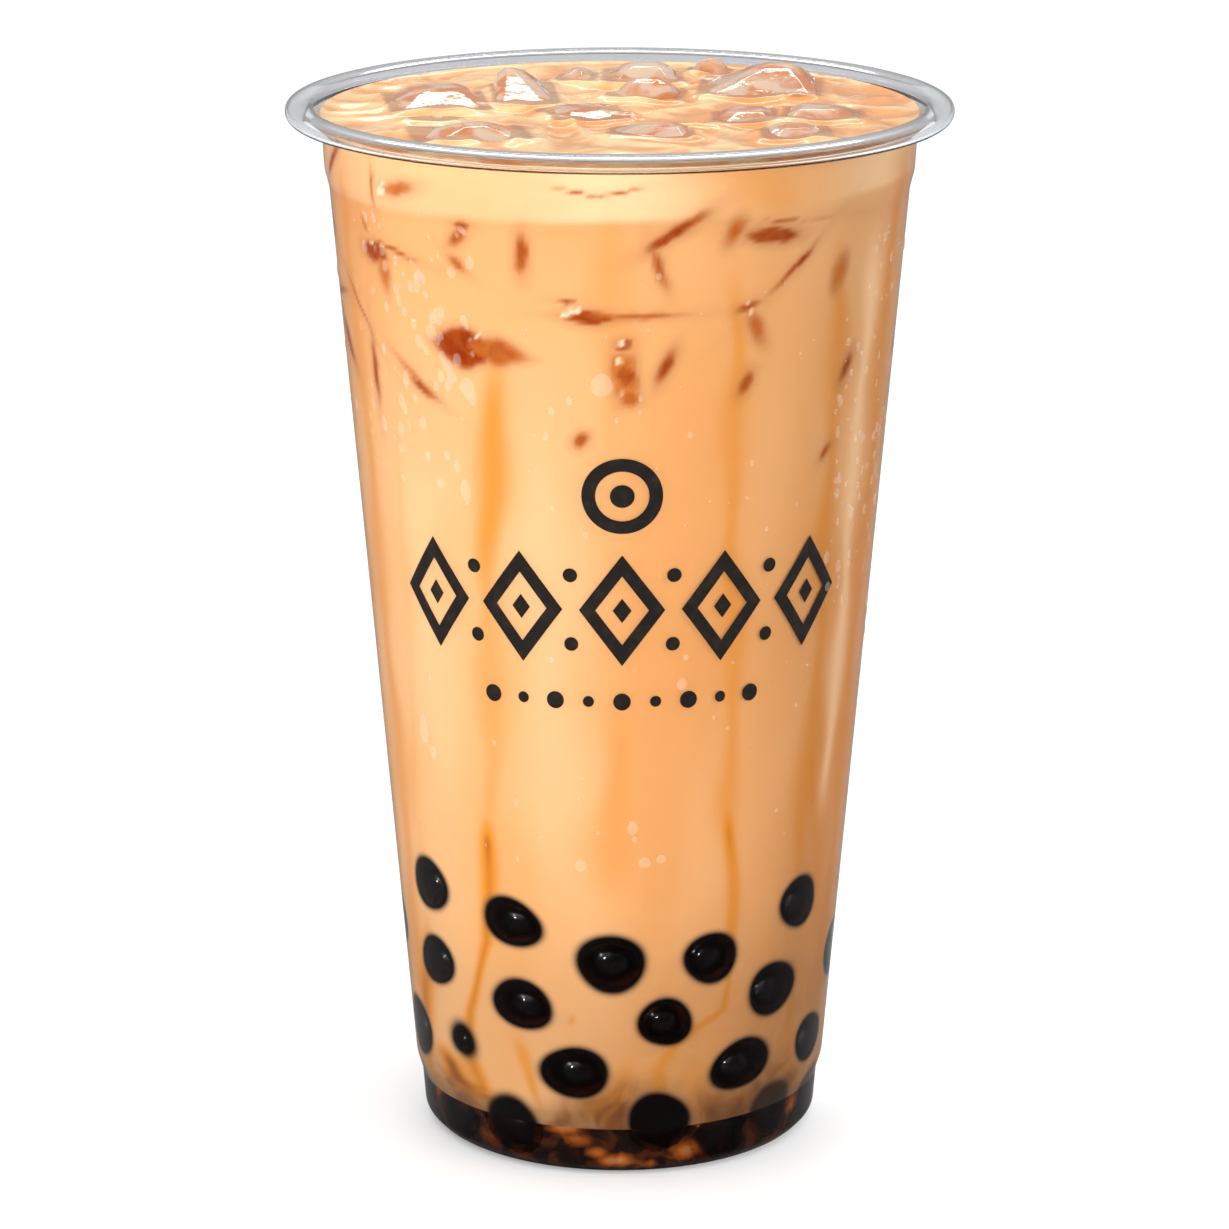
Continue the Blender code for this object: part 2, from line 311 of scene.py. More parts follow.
@dataclass(frozen=True)
class ClearIce:
    """Melting clear ice, filmed with the drink that it floats in."""

    tint: Colour = (0.98, 0.88, 0.70, 1.0)
    film: Colour = srgb(238, 152, 68)
    shadow_tint: Colour = (0.96, 0.94, 0.9, 1.0)
    ior: float = 1.31
    roughness: float = 0.03
    clearness: float = 0.66
    glare: float = 0.3
    wetness: float = 0.15
    films: Cloud = Cloud(160.0, 2.0, 1.2, (0.42, 0.62))
    grain: Cloud = Cloud(420.0)
    grain_depth: float = 0.00006

    def build(self) -> bpy.types.Material:
        """Return the material."""
        recipe = Recipe.material("clear ice")
        return recipe.clear(
            {
                "Base Color": recipe.blend(recipe.cloud(self.films), self.tint, self.film),
                "Roughness": self.roughness,
                "IOR": self.ior,
                "Transmission Weight": self.clearness,
                "Specular IOR Level": self.glare,
                "Coat Weight": self.wetness,
                "Coat Roughness": self.roughness,
                "Normal": recipe.bump(recipe.cloud(self.grain), self.grain_depth),
            },
            self.shadow_tint,
        )


@dataclass(frozen=True)
class WaterDrops:
    """Clear water standing in pale drops on the cup."""

    tint: Colour = (1.0, 0.93, 0.84, 1.0)
    ior: float = 1.33
    body: float = 0.52
    clearness: float = 0.77
    shadow_tint: Colour = (0.99, 0.99, 0.99, 1.0)
    waves: Cloud = Cloud(900.0, 1.0)
    wave_depth: float = 0.00001

    def build(self) -> bpy.types.Material:
        """Return the material."""
        recipe = Recipe.material("water drops")
        return recipe.clear(
            {
                "Base Color": self.tint,
                "Roughness": 0.0,
                "IOR": self.ior,
                "Alpha": self.body,
                "Transmission Weight": self.clearness,
                "Normal": recipe.bump(recipe.cloud(self.waves), self.wave_depth),
            },
            self.shadow_tint,
            camera_only=True,
        )


@dataclass(frozen=True)
class MilkTeaBody:
    """Milk tea as seen through the wall, with syrup streaks, sunken ice and pearls behind it, and
    with painted shade on its right side and painted highlights on the ice and in some pale runs.
    """

    cream: Colour = srgb(226, 178, 126)
    caramel: Colour = srgb(222, 166, 106)
    # Warmer, darker colours that paint shade on the right side, and tint the left by the ice.
    warm_cream: Colour = srgb(226, 166, 106)
    warm_caramel: Colour = srgb(214, 146, 82)
    pale: Colour = srgb(244, 208, 164)
    syrup: Colour = srgb(216, 142, 50)
    deep_syrup: Colour = srgb(140, 68, 12)
    murk: Colour = srgb(108, 56, 20)
    haze: Colour = srgb(168, 108, 66)
    ice_dark: Colour = srgb(146, 50, 1)
    ice_pale: Colour = srgb(206, 124, 50)
    # Painted highlights: the white of the sparkles on the sunken ice.
    glint: Colour = srgb(252, 226, 196)
    mist: Colour = srgb(128, 96, 72)
    pearl: Colour = srgb(5, 2, 2)
    roughness: float = 0.5
    glare: float = 0.03
    clouds: Cloud = Cloud(26.0, 2.0, 0.6, (0.38, 0.66))
    clouds_upwards: float = 0.35
    swirls: Cloud = Cloud(130.0, 2.0, 1.6, (0.3, 0.7))
    depths: Cloud = Cloud(420.0, 2.0, 0.8)
    depth_contrast: float = 0.7
    syrup_range: tuple[float, float] = (0.0, 1.0)
    deep_range: tuple[float, float] = (0.8, 1.7)
    halo_range: tuple[float, float] = (0.0, 0.5)
    halo_share: float = 0.52
    pearl_range: tuple[float, float] = (0.3, 0.85)

    def build(self) -> bpy.types.Material:
        """Return the material."""
        recipe = Recipe.material("milk tea body")
        clouds = recipe.cloud(self.clouds, self.clouds_upwards)
        colour = recipe.blend(clouds, self.cream, self.caramel)
        warmer = recipe.blend(clouds, self.warm_cream, self.warm_caramel)
        # Painted shade: the right side turns to the warmer, darker colours.
        colour = recipe.blend(recipe.attribute("warm"), colour, warmer)
        # Lighter band and runs, two of the runs being painted sheen.
        colour = recipe.blend(recipe.attribute("pale"), colour, self.pale)
        streak = recipe.attribute("streak")
        colour = recipe.blend(streak.between(*self.syrup_range), colour, self.syrup)
        colour = recipe.blend(streak.between(*self.deep_range), colour, self.deep_syrup)
        swirls = 0.7 + 0.45 * recipe.cloud(self.swirls)
        colour = recipe.blend(recipe.attribute("murk") * swirls, colour, self.murk)
        colour = recipe.blend(recipe.attribute("haze"), colour, self.haze)
        depths = (recipe.cloud(self.depths) - 0.5) * self.depth_contrast
        window_tone = recipe.attribute("window_tone") + depths
        window = recipe.blend(window_tone, self.ice_dark, self.ice_pale)
        colour = recipe.blend(recipe.attribute("window"), colour, window)
        # Painted highlights: white sparkles on the sunken ice.
        colour = recipe.blend(recipe.attribute("glint") * 0.85, colour, self.glint)
        colour = recipe.blend(recipe.attribute("dim"), colour, self.mist)
        shade = recipe.attribute("pearl_shade")
        halo = shade.between(*self.halo_range) * self.halo_share
        colour = recipe.blend(halo, colour, self.mist)
        colour = recipe.blend(shade.between(*self.pearl_range), colour, self.pearl)
        return recipe.opaque(
            {
                "Base Color": colour,
                "Roughness": self.roughness,
                "Specular IOR Level": self.glare,
            }
        )


@dataclass(frozen=True)
class MilkTeaTop:
    """The drink's open surface: creamy, glossy and swirled round the ice, with painted light in the
    hollows under the ice and a painted shade line where it meets the ice.
    """

    cream: Colour = srgb(242, 196, 138)
    tea: Colour = srgb(222, 146, 74)
    # Light colours of the hollows under the ice, painting light that reaches them through the ice.
    hollow_pale: Colour = srgb(252, 216, 160)
    hollow_deep: Colour = srgb(238, 156, 70)
    # Painted shade: the dark brown of the line where the drink meets the ice.
    edge: Colour = srgb(130, 66, 24)
    unlit: Colour = (0.0, 0.0, 0.0, 1.0)
    roughness: float = 0.14
    glare: float = 0.22
    wetness: float = 0.08
    wet_roughness: float = 0.05
    # Painted light: how brightly the hollows under the ice emit their own colour.
    painted_hollow_light: float = 0.16
    swirls: Cloud = Cloud(70.0, 2.0, 1.8)
    swirl_range: tuple[float, float] = (0.35, 0.65)
    fold_share: float = 0.35
    warm_share: float = 0.12
    depths: Cloud = Cloud(170.0, 1.0, 0.8, (0.4, 0.6))
    ripples: Cloud = Cloud(300.0, 1.0, 0.6)
    ripple_depth: float = 0.0001

    def build(self) -> bpy.types.Material:
        """Return the material."""
        recipe = Recipe.material("milk tea top")
        swirl = recipe.cloud(self.swirls) + recipe.attribute("fold") * self.fold_share
        swirl = swirl - recipe.attribute("warm") * self.warm_share
        colour = recipe.blend(swirl.between(*self.swirl_range), self.tea, self.cream)
        # Painted light: the hollows under the ice take light colours, standing in for light that
        # reaches them through the ice.
        hollow = recipe.blend(recipe.cloud(self.depths), self.hollow_pale, self.hollow_deep)
        sunk = recipe.attribute("hollow")
        colour = recipe.blend(sunk * 0.9, colour, hollow)
        # Painted shade: a thin dark-brown line where the drink meets the ice.
        colour = recipe.blend(recipe.attribute("painted_ice_edge_shade") * 0.6, colour, self.edge)
        return recipe.opaque(
            {
                "Base Color": colour,
                "Roughness": self.roughness,
                "Specular IOR Level": self.glare,
                "Coat Weight": self.wetness,
                "Coat Roughness": self.wet_roughness,
                # Painted light: the hollows under the ice emit light of their own colour.
                "Emission Color": recipe.blend(sunk, self.unlit, hollow),
                "Emission Strength": self.painted_hollow_light,
                "Normal": recipe.bump(recipe.cloud(self.ripples), self.ripple_depth),
            }
        )


@dataclass(frozen=True)
class TapiocaSkin:
    """Glossy cooked tapioca, nearly black, with painted light: a red-brown rim low on the right, as
    if light shone through it.
    """

    core: Colour = srgb(5, 2, 2)
    painted_glow: Colour = srgb(44, 13, 7)
    glare: float = 0.045
    roughness: float = 0.09
    wet_roughness: float = 0.06
    mottle: Cloud = Cloud(420.0, limits=(0.35, 0.7))

    def build(self) -> bpy.types.Material:
        """Return the material."""
        recipe = Recipe.material("tapioca skin")
        # Painted light: red-brown low on the right of the rim.
        share = recipe.attribute("painted_glow") * (0.6 + 0.4 * recipe.cloud(self.mottle))
        return recipe.opaque(
            {
                "Base Color": recipe.blend(share, self.core, self.painted_glow),
                "Roughness": self.roughness,
                "Specular IOR Level": self.glare,
                "Coat Weight": recipe.attribute("shine"),
                "Coat Roughness": self.wet_roughness,
            }
        )


@dataclass(frozen=True)
class SyrupBed:
    """Dark syrup between the settled pearls, with amber and tan patches."""

    dark: Colour = srgb(20, 9, 6)
    brown: Colour = srgb(66, 30, 12)
    amber: Colour = srgb(150, 76, 22)
    tan: Colour = srgb(178, 122, 74)
    pearl: Colour = srgb(5, 2, 2)
    roughness: float = 0.15
    glare: float = 0.03
    dome_depth: float = 0.0022
    mottle: Cloud = Cloud(240.0, 3.0, 1.2, (0.42, 0.66))
    veins: Cloud = Cloud(210.0, 3.0, 1.8)
    amber_range: tuple[float, float] = (0.75, 1.35)
    tan_range: tuple[float, float] = (1.0, 1.5)

    def build(self) -> bpy.types.Material:
        """Return the material."""
        recipe = Recipe.material("syrup bed")
        colour = recipe.blend(recipe.cloud(self.mottle), self.dark, self.brown)
        veins = recipe.cloud(self.veins)
        patch = recipe.attribute("patch")
        amber = (patch + veins * 0.9).between(*self.amber_range)
        colour = recipe.blend(amber, colour, self.amber)
        colour = recipe.blend((patch + veins * 0.6).between(*self.tan_range), colour, self.tan)
        colour = recipe.blend(recipe.attribute("pearl_shade") * 0.96, colour, self.pearl)
        return recipe.opaque(
            {
                "Base Color": colour,
                "Roughness": self.roughness,
                "Specular IOR Level": self.glare,
                "Normal": recipe.bump(recipe.attribute("dome"), self.dome_depth),
            }
        )


@dataclass(frozen=True)
class BlackInk:
    """Satin black ink printed on the wall."""

    ink: Colour = srgb(24, 19, 15)
    worn: Colour = srgb(38, 30, 24)
    roughness: float = 0.35
    glare: float = 0.35
    wear: Cloud = Cloud(600.0, 3.0, limits=(0.45, 0.7))

    def build(self) -> bpy.types.Material:
        """Return the material."""
        recipe = Recipe.material("black ink")
        return recipe.opaque(
            {
                "Base Color": recipe.blend(recipe.cloud(self.wear), self.ink, self.worn),
                "Roughness": self.roughness,
                "Specular IOR Level": self.glare,
            }
        )


@dataclass(frozen=True)
class StudioWhite:
    """The pale floor, which is darker in reflections, as if flags stood round the drink."""

    low: Colour = (0.93, 0.93, 0.93, 1.0)
    high: Colour = (0.95, 0.95, 0.95, 1.0)
    flagged: Colour = (0.16, 0.16, 0.16, 1.0)
    roughness: float = 0.8
    clouds: Cloud = Cloud(3.0)

    def build(self) -> bpy.types.Material:
        """Return the material."""
        recipe = Recipe.material("studio white")
        colour = recipe.blend(recipe.cloud(self.clouds), self.low, self.high)
        pale = recipe.principled({"Base Color": colour, "Roughness": self.roughness})
        dark = recipe.principled({"Base Color": self.flagged, "Roughness": self.roughness})
        rays = recipe.node("ShaderNodeLightPath").outputs
        mirrored = Tone(recipe, rays["Is Glossy Ray"]) - Tone(recipe, rays["Is Transmission Ray"])
        return recipe.finish(recipe.mixed(mirrored, pale, dark))


def deselect_all() -> None:
    """Deselect every object."""
    bpy.ops.object.select_all(action="DESELECT")


def pick(piece: bpy.types.Object) -> None:
    """Select one object alone and make it active."""
    deselect_all()
    piece.select_set(True)
    bpy.context.view_layer.objects.active = piece


@contextmanager
def editing(piece: bpy.types.Object, elements: str = "VERT") -> Iterator[None]:
    """Hold a piece in edit mode with nothing selected."""
    pick(piece)
    bpy.ops.object.mode_set(mode="EDIT")
    bpy.ops.mesh.select_mode(type=elements)
    bpy.ops.mesh.select_all(action="DESELECT")
    yield
    bpy.ops.object.mode_set(mode="OBJECT")


def apply_modifier(piece: bpy.types.Object, kind: str, settings: dict[str, object]) -> None:
    """Add a modifier with its settings and apply it."""
    pick(piece)
    modifier = piece.modifiers.new(kind.title(), kind)
    for name, value in settings.items():
        setattr(modifier, name, value)
    bpy.ops.object.modifier_apply(modifier=modifier.name)


def settle(piece: bpy.types.Object) -> None:
    """Move a piece's place into its mesh."""
    pick(piece)
    bpy.ops.object.transform_apply(location=True, rotation=True, scale=True)


def points_of(piece: bpy.types.Object) -> np.ndarray:
    """Return a mesh's vertices as an array of places."""
    flat = np.empty(len(piece.data.vertices) * 3)
    piece.data.vertices.foreach_get("co", flat)
    return flat.reshape(-1, 3)


def move_points(piece: bpy.types.Object, points: np.ndarray) -> None:
    """Give a mesh's vertices new places."""
    piece.data.vertices.foreach_set("co", points.ravel())
    piece.data.update()


def write_attributes(piece: bpy.types.Object, fields: dict[str, np.ndarray]) -> None:
    """Store numbers at each vertex, each set under its name."""
    for name, values in fields.items():
        attribute = piece.data.attributes.new(name, "FLOAT", "POINT")
        attribute.data.foreach_set("value", values.astype(np.float32))


def round_the_axis(points: np.ndarray) -> tuple[np.ndarray, np.ndarray, np.ndarray]:
    """Return the points' angles from the front in degrees, their heights and their radii."""
    angles = np.degrees(np.arctan2(points[:, 0], -points[:, 1]))
    return angles, points[:, 2], np.hypot(points[:, 0], points[:, 1])


def joined(name: str, pieces: Sequence[bpy.types.Object]) -> bpy.types.Object:
    """Join pieces into the first of them and name it."""
    deselect_all()
    for piece in pieces:
        piece.select_set(True)
    bpy.context.view_layer.objects.active = pieces[0]
    bpy.ops.object.join()
    pieces[0].name = name
    return pieces[0]


def unit_ball(segments: int, rings: int) -> bpy.types.Object:
    """Return a ball of radius 1 with its poles on the Y axis."""
    deselect_all()
    bpy.ops.mesh.primitive_uv_sphere_add(segments=segments, ring_count=rings)
    ball = bpy.context.object
    with editing(ball):
        bpy.ops.mesh.select_all(action="SELECT")
        bpy.ops.transform.rotate(value=math.pi / 2.0, orient_axis="X", center_override=(0, 0, 0))
    return ball


def turned(name: str, outline: Outline, steps: int) -> bpy.types.Object:
    """Turn an outline round Z.

    Args:
        name: The new object's name.
        outline: Points of (radius, height), the first of them made from a small plane.
        steps: The number of sides.

    Returns:
        A closed turned mesh, or an open one if the outline doesn't end on the axis.
    """
    deselect_all()
    start = (outline[0][0], 0.0, outline[0][1])
    bpy.ops.mesh.primitive_plane_add(size=MM, location=start)
    piece = bpy.context.object
    piece.name = name
    settle(piece)
    with editing(piece):
        bpy.ops.mesh.select_all(action="SELECT")
        bpy.ops.mesh.merge(type="CENTER")
        for (radius, height), (next_radius, next_height) in zip(outline, outline[1:]):
            step = (next_radius - radius, 0.0, next_height - height)
            bpy.ops.mesh.extrude_vertices_move(TRANSFORM_OT_translate={"value": step})
        bpy.ops.mesh.select_all(action="SELECT")
        bpy.ops.mesh.spin(steps=steps, angle=math.tau, center=(0, 0, 0), axis=(0, 0, 1))
        bpy.ops.mesh.select_all(action="SELECT")
        bpy.ops.mesh.remove_doubles(threshold=MERGE)
        bpy.ops.mesh.normals_make_consistent(inside=False)
    return piece


def hand_over(
    piece: bpy.types.Object,
    finish: bpy.types.Material,
    nodes: Sequence[str] = (),
    smooth_angle: float = 180.0,
) -> bpy.types.Object:
    """Give a finished piece its material, shading and place on the frame.

    Args:
        piece: The piece, with its place in its mesh.
        finish: Its material.
        nodes: The CAD nodes that it stands for.
        smooth_angle: The widest angle between faces that is shaded smooth, in degrees.

    Returns:
        The piece.
    """
    pick(piece)
    if smooth_angle >= 180.0:
        bpy.ops.object.shade_smooth()
    else:
        bpy.ops.object.shade_smooth_by_angle(angle=math.radians(smooth_angle))
    piece.data.materials.clear()
    piece.data.materials.append(finish)
    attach(piece, ROOT)
    if nodes:
        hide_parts(*nodes)
    return piece


@dataclass(frozen=True)
class WallShape:
    """The cup's sheet: its outside as (radius, height), its rim, its foot and its thickness."""

    sheet: float = 0.0005
    rim_radius: float = 0.049
    rim_height: float = 0.157
    rim_band: float = 0.0042
    rim_depth: float = 0.0028
    rim_squareness: float = 2.5
    curl_start: float = 150.0
    curl_end: float = -115.0
    curl_points: int = 26
    base_rise: float = 0.0022
    base_radius: float = 0.0240
    stand_inner: float = 0.0262
    stand_outer: float = 0.0284
    corner_cut: float = 0.0006
    corner_steps: int = 4
    outside: tuple[tuple[float, float], ...] = (
        (0.02990, 0.0018),
        (0.03036, 0.0075),
        (0.03120, 0.0102),
        (0.04268, 0.1446),
        (0.04335, 0.1472),
        (0.04368, 0.1528),
        (0.04425, 0.1547),
    )

    def eased(self, line: Outline) -> Outline:
        """Return a line whose inner corners are short curves."""
        curved = [line[0]]
        for before, corner, after in zip(line, line[1:], line[2:]):
            here = Vector(corner)
            back, on = Vector(before) - here, Vector(after) - here
            start = here + back.normalized() * min(self.corner_cut, back.length / 2.0)
            end = here + on.normalized() * min(self.corner_cut, on.length / 2.0)
            for step in range(self.corner_steps + 1):
                share = step / self.corner_steps
                point = start * (1 - share) ** 2 + here * 2 * share * (1 - share) + end * share**2
                curved.append((point.x, point.y))
        return curved + [line[-1]]

    def radius(self, heights: np.ndarray | float) -> np.ndarray | float:
        """Return the outside radius of the wall at a height or at many."""
        line = self.eased(list(self.outside))
        return np.interp(heights, [height for _, height in line], [radius for radius, _ in line])

    def rim_curl(self) -> Outline:
        """Return the middle of the rolled rim's sheet, from the throat over to the lip's end."""
        half_band = (self.rim_band - self.sheet) / 2.0
        half_depth = (self.rim_depth - self.sheet) / 2.0
        centre = (self.rim_radius - self.rim_band / 2.0, self.rim_height - self.rim_depth / 2.0)
        power = 2.0 / self.rim_squareness
        line = []
        for angle in np.radians(np.linspace(self.curl_start, self.curl_end, self.curl_points)):
            across = math.copysign(abs(math.cos(angle)) ** power, math.cos(angle))
            up = math.copysign(abs(math.sin(angle)) ** power, math.sin(angle))
            line.append((centre[0] + half_band * across, centre[1] + half_depth * up))
        return line

    def sheet_line(self) -> Outline:
        """Return the middle of the whole sheet, from the base's centre to the lip's end."""
        half = self.sheet / 2.0
        line = [
            (0.0, self.base_rise - half),
            (self.base_radius, self.base_rise - half),
            (self.stand_inner, half),
            (self.stand_outer - half, half),
        ]
        line += [(radius - half, height) for radius, height in self.outside]
        curl = self.rim_curl()
        return self.eased(line + curl[:1]) + curl[1:]

    def spot(self, angle: float, height: float, proud: float = 0.0) -> Vector:
        """Return the place on the wall's outside at an angle in degrees and a height."""
        radius = float(self.radius(height)) + proud
        turn = math.radians(angle)
        return Vector((radius * math.sin(turn), -radius * math.cos(turn), height))

    def outward(self, angle: float) -> Matrix:
        """Return the turn that faces a local -Y out through the wall, leaning with its slope."""
        low, high = self.outside[2], self.outside[3]
        slope = math.atan2(high[0] - low[0], high[1] - low[1])
        return Matrix.Rotation(math.radians(angle), 4, "Z") @ Matrix.Rotation(slope, 4, "X")


@dataclass
class Cup:
    """The clear cup: one sheet turned and thickened."""

    wall: WallShape
    sides: int = 240
    neck_heights: tuple[float, float] = (0.1534, 0.1546)
    neck_radii: tuple[float, float] = (0.0462, 0.0450)
    smooth_angle: float = 35.0

    def build(self) -> bpy.types.Object:
        """Build the shell that stands for the cup node."""
        shell = turned("cup_shell", self.wall.sheet_line(), self.sides)
        thickness = {"thickness": self.wall.sheet, "offset": 0.0, "use_even_offset": True}
        apply_modifier(shell, "SOLIDIFY", thickness)
        _, heights, radii = round_the_axis(points_of(shell))
        # Painted shade: where the neck's ring above the drink is tinted dark grey.
        neck = smooth(heights, *self.neck_heights) * smooth(radii, *self.neck_radii)
        write_attributes(shell, {"neck": neck})
        finish = ClearPlastic().build()
        return hand_over(shell, finish, ["cup"], self.smooth_angle)


@dataclass(frozen=True)
class Shard:
    """A sliver of sunken ice seen through the wall, from one end to the other.

    The exponent is 1 for a kite, 2 for an oval and more for a block.
    """

    angle_from: float
    height_from: float
    angle_to: float
    height_to: float
    width: float
    exponent: float = 2.0
    softness: float = 0.4
    tone: float = 0.2

    def distance(self, angles: np.ndarray, heights: np.ndarray, radii: np.ndarray) -> np.ndarray:
        """Return how far outside the shard each place lies. Lengths are in millimetres."""
        height = (self.height_from + self.height_to) / 2.0
        across = np.radians(turned_from(angles, (self.angle_from + self.angle_to) / 2.0)) * radii
        up = heights - height
        across = across + 0.22 * ripple(up * 1.3, across * 1.1, self.tone + self.width)
        up = up + 0.18 * ripple(across * 1.5, up * 0.9, self.height_to)
        wall_radius = float(np.interp(height, [0.0, 150.0], [30.0, 43.0]))
        run = math.radians(self.angle_to - self.angle_from) * wall_radius
        rise = self.height_to - self.height_from
        length = math.hypot(run, rise)
        along = (across * run + up * rise) / length
        aside = (up * run - across * rise) / length
        reach = np.abs(along / (length / 2.0 + 0.2)) ** self.exponent
        reach += np.abs(aside / (self.width / 2.0)) ** self.exponent
        return (reach ** (1.0 / self.exponent) - 1.0) * min(self.width, length) / 2.0


@dataclass(frozen=True)
class Streak:
    """A soft run down inside the wall, used for syrup, for cream and for painted sheen.

    The path is (angle, height) from its top down, and lengths are in millimetres.
    """

    path: tuple[tuple[float, float], ...]
    width: float
    strength: float
    fade: float = 6.0

    def cover(self, angles: np.ndarray, heights: np.ndarray, radii: np.ndarray) -> np.ndarray:
        """Return the run's strength at each place."""
        turns = [angle for angle, _ in self.path][::-1]
        levels = [height for _, height in self.path][::-1]
        above, middle, below = (
            np.interp(heights + shift, levels, turns) for shift in (0.5, 0.0, -0.5)
        )
        lean = np.hypot(1.0, np.radians(np.abs(above - below)) * radii)
        sway = 0.7 * np.sin(heights * 0.13 + turns[-1]) + 0.4 * np.sin(heights * 0.31)
        swell = 1.0 + 0.35 * np.sin(heights * 0.21 + turns[0])
        across = np.radians(turned_from(angles, middle + sway)) * radii
        ends = smooth(heights, levels[-1] + self.fade, levels[-1] - self.fade)
        ends = ends * smooth(heights, levels[0] - self.fade, levels[0] + self.fade)
        return self.strength * ends * bell(across, 0.0, self.width * swell * lean)


@dataclass
class Pearl:
    """A pearl against the wall, measured from its CAD node. Lengths in metres."""

    node: str
    angle: float
    height: float
    half_width: float
    half_tall: float
    tilt: float

    @classmethod
    def from_node(cls, name: str, mesh_object: bpy.types.Object) -> "Pearl":
        """Read a pearl's place, size and tilt from its node's mesh."""
        points = points_of(mesh_object)
        centre = points.mean(0)
        turn = math.atan2(centre[0], -centre[1])
        across = points[:, 0] * math.cos(turn) + points[:, 1] * math.sin(turn)
        flat = np.column_stack([across, points[:, 2] - centre[2]])
        _, axes = np.linalg.eigh(flat.T @ flat)
        main = axes[:, 1] if axes[0, 1] >= 0.0 else -axes[:, 1]
        side = np.array([-main[1], main[0]])
        half_width = float(np.abs(flat @ main).max())
        half_tall = float(np.abs(flat @ side).max())
        tilt = math.atan2(main[1], main[0])
        return cls(name, math.degrees(turn), float(centre[2]), half_width, half_tall, tilt)

    @classmethod
    def settled(cls, angle: float, height: float) -> "Pearl":
        """Return a round pearl of the settled layer."""
        return cls("", angle, height, BED_PEARL_HALF, BED_PEARL_HALF, 0.0)

    def reach(self, angles: np.ndarray, heights: np.ndarray, radii: np.ndarray) -> np.ndarray:
        """Return each place's distance from the pearl's middle, where 1 is its outline.

        Args:
            angles: Angles in degrees.
            heights: Heights in metres.
            radii: Wall radii in metres.

        Returns:
            The distances, uneven as cooked pearls are.
        """
        offset = turned_from(angles, self.angle)
        across = np.sin(np.radians(np.clip(offset, -PEARL_SIGHT, PEARL_SIGHT))) * radii
        up = heights - self.height
        along = (across * math.cos(self.tilt) + up * math.sin(self.tilt)) / self.half_width
        aside = (up * math.cos(self.tilt) - across * math.sin(self.tilt)) / self.half_tall
        way = np.arctan2(aside, along)
        seed = self.angle * 0.7 + self.height * 900.0
        uneven = 1.0 + 0.035 * np.sin(2.0 * way + seed) + 0.03 * np.sin(3.0 * way + 1.7 * seed)
        reach = np.hypot(along, aside) / uneven
        return np.where(np.abs(offset) < PEARL_SIGHT, reach, FAR_AWAY)


# How many degrees round from its middle a pearl can show, and its reach beyond them.
PEARL_SIGHT = 55.0
FAR_AWAY = 9.0

# Pearls of the settled layer against the foot: angle from the front, height, and how far
# each shows through the milk above the layer.
BED_PEARLS = (
    (-78.0, 0.0056, 0.5),
    (-54.0, 0.0062, 0.3),
    (-32.0, 0.0070, 0.85),
    (11.0, 0.0088, 1.0),
    (30.0, 0.0054, 0.2),
    (48.5, 0.0074, 0.7),
    (71.0, 0.0058, 0.7),
    (95.0, 0.0062, 0.6),
    (125.0, 0.0054, 0.5),
    (155.0, 0.0070, 0.9),
    (185.0, 0.0056, 0.4),
    (215.0, 0.0072, 0.9),
    (246.0, 0.0054, 0.5),
)
BED_PEARL_HALF = 0.0044
FAINT_PEARLS = ("pearl_13",)

# Painted highlights on the sunken ice, white sparkles in the drink's colour: angle, height and
# radius in millimetres.
PAINTED_ICE_GLINTS = (
    (-9.9, 135.0, 0.25),
    (-10.8, 133.2, 0.50),
    (-9.4, 133.7, 0.60),
    (-8.2, 133.9, 0.45),
    (-30.7, 128.6, 0.22),
    (-29.6, 128.9, 0.30),
    (-28.8, 129.4, 0.16),
    (-57.4, 139.9, 0.34),
    (-56.2, 139.2, 0.22),
    (0.3, 129.2, 0.55),
    (-0.3, 126.6, 0.50),
    (0.6, 121.9, 0.28),
    (26.5, 132.9, 0.35),
    (25.7, 134.4, 0.25),
    (-51.8, 148.2, 0.80),
    (-50.9, 149.4, 0.45),
)

